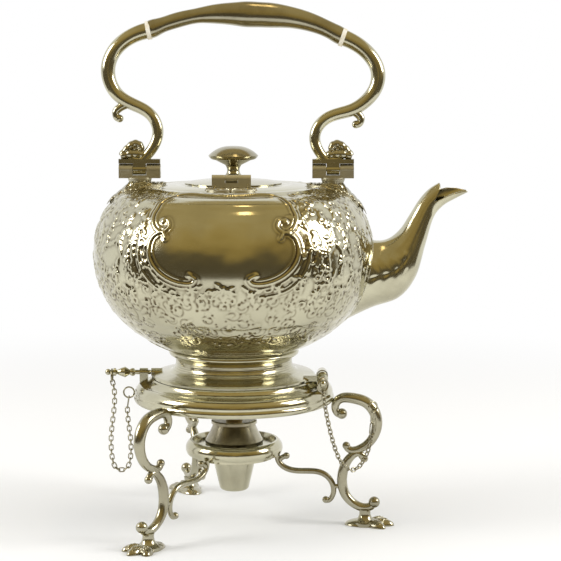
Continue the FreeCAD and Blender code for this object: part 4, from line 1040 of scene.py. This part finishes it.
def spout_leaf(t, turn):
    """Height of the chased leaf at the root: lobes, and veins that run back from a midrib."""
    aside = abs((turn - 0.5 * math.pi) % (2 * math.pi) - math.pi)
    lobes = 0.84 + 0.16 * np.cos(ROOT_LEAF_LOBES * t)
    half = ROOT_LEAF_HALF_TURN * np.maximum(0, 1 - (t / ROOT_LEAF_REACH) ** 2) * lobes
    inside = np.clip((half - aside) / ROOT_LEAF_SOFT_EDGE, 0, 1)
    veins = 0.5 + 0.5 * np.cos(ROOT_LEAF_VEINS * t + ROOT_LEAF_SLANT * aside)
    rib = 0.8 * np.exp(-(aside / ROOT_LEAF_RIB) ** 2)
    return inside * ROOT_LEAF_HEIGHT * (0.3 + 0.7 * veins - rib)


print("spout of", len(STATIONS), "sections")

# %% [markdown]
# ## The spout's wall
# Each line along the spout starts a little inside the body, runs out to the edge of the mouth, turns there
# and comes back inside the wall. A Solidify modifier could give the thickness, but it would not follow the
# body at the root. The lines side by side make a closed wall that takes over from the solid on show.

# %% The spout's wall
SPOUT_WALL = 1.3
SPOUT_LET_IN = 1.0
SPOUT_COLUMNS = 160
SPOUT_ROWS = 150
LAST_ROW = 0.985
spout_rows = np.concatenate([np.linspace(0, LAST_ROW, SPOUT_ROWS), [1.0]])
grid, seam = [], []
for column in range(SPOUT_COLUMNS):
    turn = 2 * math.pi * column / SPOUT_COLUMNS
    edge = meets_mouth(turn)
    start = leaves_body(turn, 0, SPOUT_LET_IN)
    t = start + (edge - start) * spout_rows
    outside = spout_points(t, turn, -spout_leaf(t, turn))
    start = leaves_body(turn, SPOUT_WALL, SPOUT_LET_IN)
    inside = spout_points(start + (edge - start) * spout_rows[::-1], turn, SPOUT_WALL)
    grid.append(np.concatenate([outside, inside]))
    seam.append(Vector(spout_points(np.full(1, leaves_body(turn, 0, 0)), turn, 0)[0]))
around = len(grid[0])
faces = []
for column in range(SPOUT_COLUMNS):
    here = column * around
    beside = (column + 1) % SPOUT_COLUMNS * around
    for row in range(around):
        ahead = (row + 1) % around
        faces.append((here + row, beside + row, beside + ahead, here + ahead))
spout_piece = smooth_piece("spout_shell", (np.concatenate(grid) * MM).tolist(), faces)
spout_piece.data.materials.append(plain_silver)
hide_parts("spout")
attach(spout_piece, "kettle")
print("spout wall of", len(faces), "faces")

# %% [markdown]
# ## The spout's seam and the foot's turned lines
# The spout is soldered to the body, and a fine, dull fillet of solder runs round its root. Its line is where
# the spout's outside meets the body's wall. The waist of the foot has fine lines, left by turning. Both are
# closed rings of thin wire, half sunk in the surface, which cost far fewer faces than a cut into the wall.


# %% The spout's seam and the foot's turned lines
SEAM_RADIUS = 0.55
LINE_HEIGHTS = (115.6, 117.0, 118.4, 119.8, 121.2, 122.6)
LINE_RADIUS = 0.22
LINE_STEPS = 120
WIRE_SIDES = 8


def closed_tube(name, line, radius):
    """A thin ring of round wire through a closed line of points in millimetres."""
    points, faces = [], []
    count = len(line)
    middle = sum(line, Vector()) / count
    for k in range(count):
        along = (line[(k + 1) % count] - line[k - 1]).normalized()
        out = line[k] - middle
        out = (out - along * out.dot(along)).normalized()
        over = along.cross(out)
        for s in range(WIRE_SIDES):
            turn = 2 * math.pi * s / WIRE_SIDES
            point = line[k] + out * radius * math.cos(turn) + over * radius * math.sin(turn)
            points.append(tuple(point * MM))
    for k in range(count):
        here = k * WIRE_SIDES
        ahead = (k + 1) % count * WIRE_SIDES
        for s in range(WIRE_SIDES):
            beside = (s + 1) % WIRE_SIDES
            faces.append((here + s, here + beside, ahead + beside, ahead + s))
    return smooth_piece(name, points, faces)


seam_piece = closed_tube("spout_seam", seam, SEAM_RADIUS)
seam_piece.data.materials.append(dull_silver)
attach(seam_piece, "kettle")

touch = touch_of("kettle_foot")
turns = [2 * math.pi * step / LINE_STEPS for step in range(LINE_STEPS)]
for k, z in enumerate(LINE_HEIGHTS):
    hit, normal, index, gap = touch.ray_cast(Vector((0, BELLY_RADIUS, z)) * MM, Vector((0, -1, 0)))
    waist = hit.y / MM
    ring = [Vector((waist * math.sin(turn), waist * math.cos(turn), z)) for turn in turns]
    ring_piece = closed_tube("foot_line_%d" % (k + 1), ring, LINE_RADIUS)
    ring_piece.data.materials.append(plain_silver)
    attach(ring_piece, "kettle")
print("seam of", len(seam), "points and", len(LINE_HEIGHTS), "turned lines")

# %% [markdown]
# ## Snail scrolls on the handle hinges
# The outer end of each hinge carries a curled, ribbed leaf, like a snail, on a second leaf that lies along
# the plate. Each is a tube of changing thickness along a few points, with ribs running round it. A bevelled
# curve could make the tube, but not the ribs, so the rings are set here one by one.


# %% Snail scrolls on the handle hinges
SNAIL_LINE = ((-13.4, 270.6), (-8.8, 275.6), (-3.8, 279.4), (0.4, 278.2), (0.8, 274.6), (-2.0, 273.2),
              (-3.2, 275.6), (-1.8, 276.6))
SNAIL_RADII = (2.4, 2.9, 2.7, 2.5, 2.3, 2.1, 1.7)
SNAIL_RIBS = 11
BASE_LINE = ((-13.6, 270.6), (-6.0, 272.2), (2.0, 271.6), (8.0, 270.2))
BASE_RADII = (2.6, 3.6, 3.2, 1.8)
BASE_RIBS = 5
TUBE_SIDES = 28
TUBE_STEPS = 64
TUBE_RIB_DEPTH = 0.16
TUBE_WIDTH = 1.15


def ribbed_tube(name, line, radii, ribs):
    """A closed tube along points in the XZ plane, ribbed along its length."""
    path = curve_through(line, TUBE_STEPS)
    last = TUBE_STEPS - 1
    points, faces = [], []
    for k, (x, z) in enumerate(path):
        share = k / last
        ahead = path[min(k + 1, last)] - path[max(k - 1, 0)]
        ahead = ahead / np.hypot(*ahead)
        size = np.interp(share * (len(radii) - 1), np.arange(len(radii)), radii)
        size *= 1 + TUBE_RIB_DEPTH * (abs(math.sin(ribs * math.pi * share)) - 0.5)
        for s in range(TUBE_SIDES):
            turn = 2 * math.pi * s / TUBE_SIDES
            point_x = x - ahead[1] * size * math.cos(turn)
            point_y = size * TUBE_WIDTH * math.sin(turn)
            point_z = z + ahead[0] * size * math.cos(turn)
            points.append((point_x * MM, point_y * MM, point_z * MM))
    for k in range(last):
        for s in range(TUBE_SIDES):
            a = k * TUBE_SIDES + s
            b = k * TUBE_SIDES + (s + 1) % TUBE_SIDES
            faces.append((a, b, b + TUBE_SIDES, a + TUBE_SIDES))
    faces.append(tuple(range(TUBE_SIDES - 1, -1, -1)))
    faces.append(tuple(range(last * TUBE_SIDES, TUBE_STEPS * TUBE_SIDES)))
    return smooth_piece(name, points, faces)


scrolls = (("snail", SNAIL_LINE, SNAIL_RADII, SNAIL_RIBS), ("base_leaf", BASE_LINE, BASE_RADII, BASE_RIBS))
for name, (hinge_x, outward) in HINGES.items():
    for form, line, radii, ribs in scrolls:
        placed = [(hinge_x - outward * x, z) for x, z in line]
        piece = ribbed_tube("%s_hinge_%s" % (name, form), placed, radii, ribs)
        piece.data.materials.append(cast_silver)
        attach(piece, "handle")
print("snail scrolls:", len(HINGES))

# %% [markdown]
# ## The floor
# Polished silver shows little but what stands round it, so the studio is half of the finish. The floor is
# pale paper that keeps the shadow near the kettle and runs out to plain white. A plane with one white
# material would show a grey edge against the sky, so the paper turns into a white glow with the distance.

# %% The floor
PAPER_WHITE = (0.90, 0.90, 0.89)
FLOOR_SIZE = 12.0


def paper_material(name, colour, near, far):
    """Pale paper that catches the shadow near the kettle and runs out to plain white further off."""
    material, tree, paper = new_material(name)
    paper.inputs["Base Color"].default_value = (*colour, 1)
    paper.inputs["Roughness"].default_value = 1.0
    place = add_node(tree, "TexCoord")
    away = add_node(tree, "VectorMath")
    away.operation = "LENGTH"
    link(tree, place, "Object", away, 0)
    fade = add_node(tree, "MapRange", {"From Min": near, "From Max": far})
    fade.interpolation_type = "SMOOTHSTEP"
    link(tree, away, "Value", fade, "Value")
    white = add_node(tree, "Emission")
    both = add_node(tree, "MixShader")
    link(tree, fade, "Result", both, "Fac")
    link(tree, paper, "BSDF", both, 1)
    link(tree, white, "Emission", both, 2)
    link(tree, both, "Shader", tree.nodes["Material Output"], "Surface")
    return material


bpy.ops.mesh.primitive_plane_add(size=FLOOR_SIZE, location=(0, 0, 0))
floor = bpy.context.object
floor.name = "floor"
floor.data.materials.append(paper_material("floor_paper", PAPER_WHITE, near=0.45, far=0.95))
print("floor laid")

# %% [markdown]
# ## The room's colours
# A brown shade in front of the kettle shows only in reflections, like a dim room. An image of a room could be
# used, but a few colours in order of height do as well, and a slow noise breaks them into soft patches.

# %% The room's colours
ROOM_COLOURS = ((0.04, (0.12, 0.098, 0.055)), (0.16, (0.165, 0.13, 0.062)), (0.36, (0.37, 0.27, 0.09)),
                (0.6, (0.46, 0.345, 0.13)), (0.95, (0.52, 0.42, 0.21)))
ROOM_HEIGHT = 2.4
PATCHES = {"Scale": 1.3, "Detail": 1.5}
PATCH_SHIFT = {"From Min": 0.3, "From Max": 0.7, "To Min": -0.16, "To Max": 0.16}


def room_material(name):
    """A dim room: dark near the table, golden brown higher up, with soft patches of furniture and wall."""
    material, tree, shader = new_material(name)
    tree.nodes.remove(shader)
    place = add_node(tree, "TexCoord")
    apart = add_node(tree, "SeparateXYZ")
    link(tree, place, "Object", apart, "Vector")
    rise = add_node(tree, "MapRange", {"From Max": ROOM_HEIGHT})
    link(tree, apart, "Z", rise, "Value")
    patches = add_node(tree, "TexNoise", PATCHES)
    link(tree, place, "Object", patches, "Vector")
    shift = add_node(tree, "MapRange", PATCH_SHIFT)
    link(tree, patches, "Fac", shift, "Value")
    total = add_node(tree, "Math")
    link(tree, rise, "Result", total, 0)
    link(tree, shift, "Result", total, 1)
    ramp = add_node(tree, "ValToRGB")
    for edge, colour in ROOM_COLOURS:
        stop = ramp.color_ramp.elements.new(edge)
        stop.color = (*colour, 1)
    ramp.color_ramp.elements.remove(ramp.color_ramp.elements[0])
    ramp.color_ramp.elements.remove(ramp.color_ramp.elements[-1])
    link(tree, total, "Value", ramp, "Fac")
    glow = add_node(tree, "Emission")
    link(tree, ramp, "Color", glow, "Color")
    link(tree, glow, "Emission", tree.nodes["Material Output"], "Surface")
    return material


print("room of", len(ROOM_COLOURS), "colours ready")

# %% [markdown]
# ## The room in the silver
# The shade is a patch of a dome, in metres. Its first row lies on the floor, where the table ends, and the
# rest go up over the kettle. Camera, shadows and soft light don't see it, so it acts on reflections alone.

# %% The room in the silver
SHADE_RADIUS = 2.6
SHADE_STEPS = 24
SHADE_OVER = 131.0
SHADE_HALF_TURN = 92.0
SHADE_FLOOR = 0.003
TABLE_EDGE = 0.62
shade_rows = [(TABLE_EDGE, SHADE_FLOOR)]
for up in range(SHADE_STEPS):
    lift = math.radians(SHADE_OVER * up / (SHADE_STEPS - 1))
    shade_rows.append((SHADE_RADIUS * math.cos(lift), SHADE_FLOOR + SHADE_RADIUS * math.sin(lift)))
shade_points = []
for level, z in shade_rows:
    for step in range(SHADE_STEPS + 1):
        swing = math.radians(SHADE_HALF_TURN * (2 * step / SHADE_STEPS - 1))
        shade_points.append((level * math.sin(swing), -level * math.cos(swing), z))
shade_faces = []
for up in range(SHADE_STEPS):
    for step in range(SHADE_STEPS):
        corner = up * (SHADE_STEPS + 1) + step
        above = corner + SHADE_STEPS + 1
        shade_faces.append((corner, corner + 1, above + 1, above))
shade_mesh = bpy.data.meshes.new("room_shade")
shade_mesh.from_pydata(shade_points, [], shade_faces)
shade = put("room_shade", shade_mesh)
shade.data.materials.append(room_material("room_brown"))
shade.visible_camera = False
shade.visible_diffuse = False
shade.visible_shadow = False
print("shade of", len(shade_faces), "faces")

# %% [markdown]
# ## Lamps
# Two large lamps at the sides give soft, window-like highlights. A small warm one hangs above, and because it
# is small, its reflection is a short glint. Point lamps would give hard sparks on every ridge of the chasing.

# %% Lamps
LAMP_AIM = Vector((0, 0, 0.2))
WINDOW_LIGHT = (1.0, 1.0, 1.0)
LAMP_LIGHT = (1.0, 0.75, 0.38)


def aim_at(thing, place, aim):
    """Set a lamp or a camera at a place and turn it to look at another."""
    thing.location = place
    thing.rotation_euler = (aim - place).to_track_quat("-Z", "Y").to_euler()


def soft_lamp(name, place, wide, high, power, colour):
    """A rectangular lamp that looks at the kettle, in metres and watts."""
    lamp = bpy.data.lights.new(name, "AREA")
    lamp.shape = "RECTANGLE"
    lamp.size = wide
    lamp.size_y = high
    lamp.energy = power
    lamp.color = colour
    aim_at(put(name, lamp), Vector(place), LAMP_AIM)


soft_lamp("left_window", (-1.45, -0.35, 0.85), wide=0.6, high=0.8, power=14.0, colour=WINDOW_LIGHT)
soft_lamp("right_window", (1.45, -0.25, 0.9), wide=0.6, high=0.8, power=14.0, colour=WINDOW_LIGHT)
soft_lamp("room_lamp", (0.1, 0.02, 1.4), wide=0.36, high=0.12, power=0.6, colour=LAMP_LIGHT)
print("lamps set")

# %% [markdown]
# ## Sky and camera
# The sky is plain white for the camera and for reflections, and a little weaker as a light, so that the
# shadow under the kettle stays visible. The camera stands where the photo was taken from, with a long lens.

# %% Sky and camera
SKY_LIGHT = {"To Min": 0.7, "To Max": 1.0}
CAMERA_PLACE = Vector((0.04537, -1.29921, 0.34977))
CAMERA_AIM = Vector((0.03416, 0.00119, 0.17959))
CAMERA_LENS = 115.2
SENSOR_WIDTH = 36.0
world = bpy.data.worlds.new("studio")
bpy.context.scene.world = world
world.use_nodes = True
sky = world.node_tree
backing = sky.nodes["Background"]
backing.inputs["Color"].default_value = (1, 1, 1, 1)
paths = add_node(sky, "LightPath")
seen = add_node(sky, "Math")
seen.operation = "MAXIMUM"
link(sky, paths, "Is Camera Ray", seen, 0)
link(sky, paths, "Is Glossy Ray", seen, 1)
shown = add_node(sky, "Math")
shown.operation = "MAXIMUM"
link(sky, seen, "Value", shown, 0)
link(sky, paths, "Is Transmission Ray", shown, 1)
strength = add_node(sky, "MapRange", SKY_LIGHT)
link(sky, shown, "Value", strength, "Value")
link(sky, strength, "Result", backing, "Strength")

camera_data = bpy.data.cameras.new("camera")
camera_data.sensor_width = SENSOR_WIDTH
camera_data.lens = CAMERA_LENS
camera = put("camera", camera_data)
aim_at(camera, CAMERA_PLACE, CAMERA_AIM)
bpy.context.scene.camera = camera
bpy.context.scene.view_settings.view_transform = "Standard"
print("camera set")
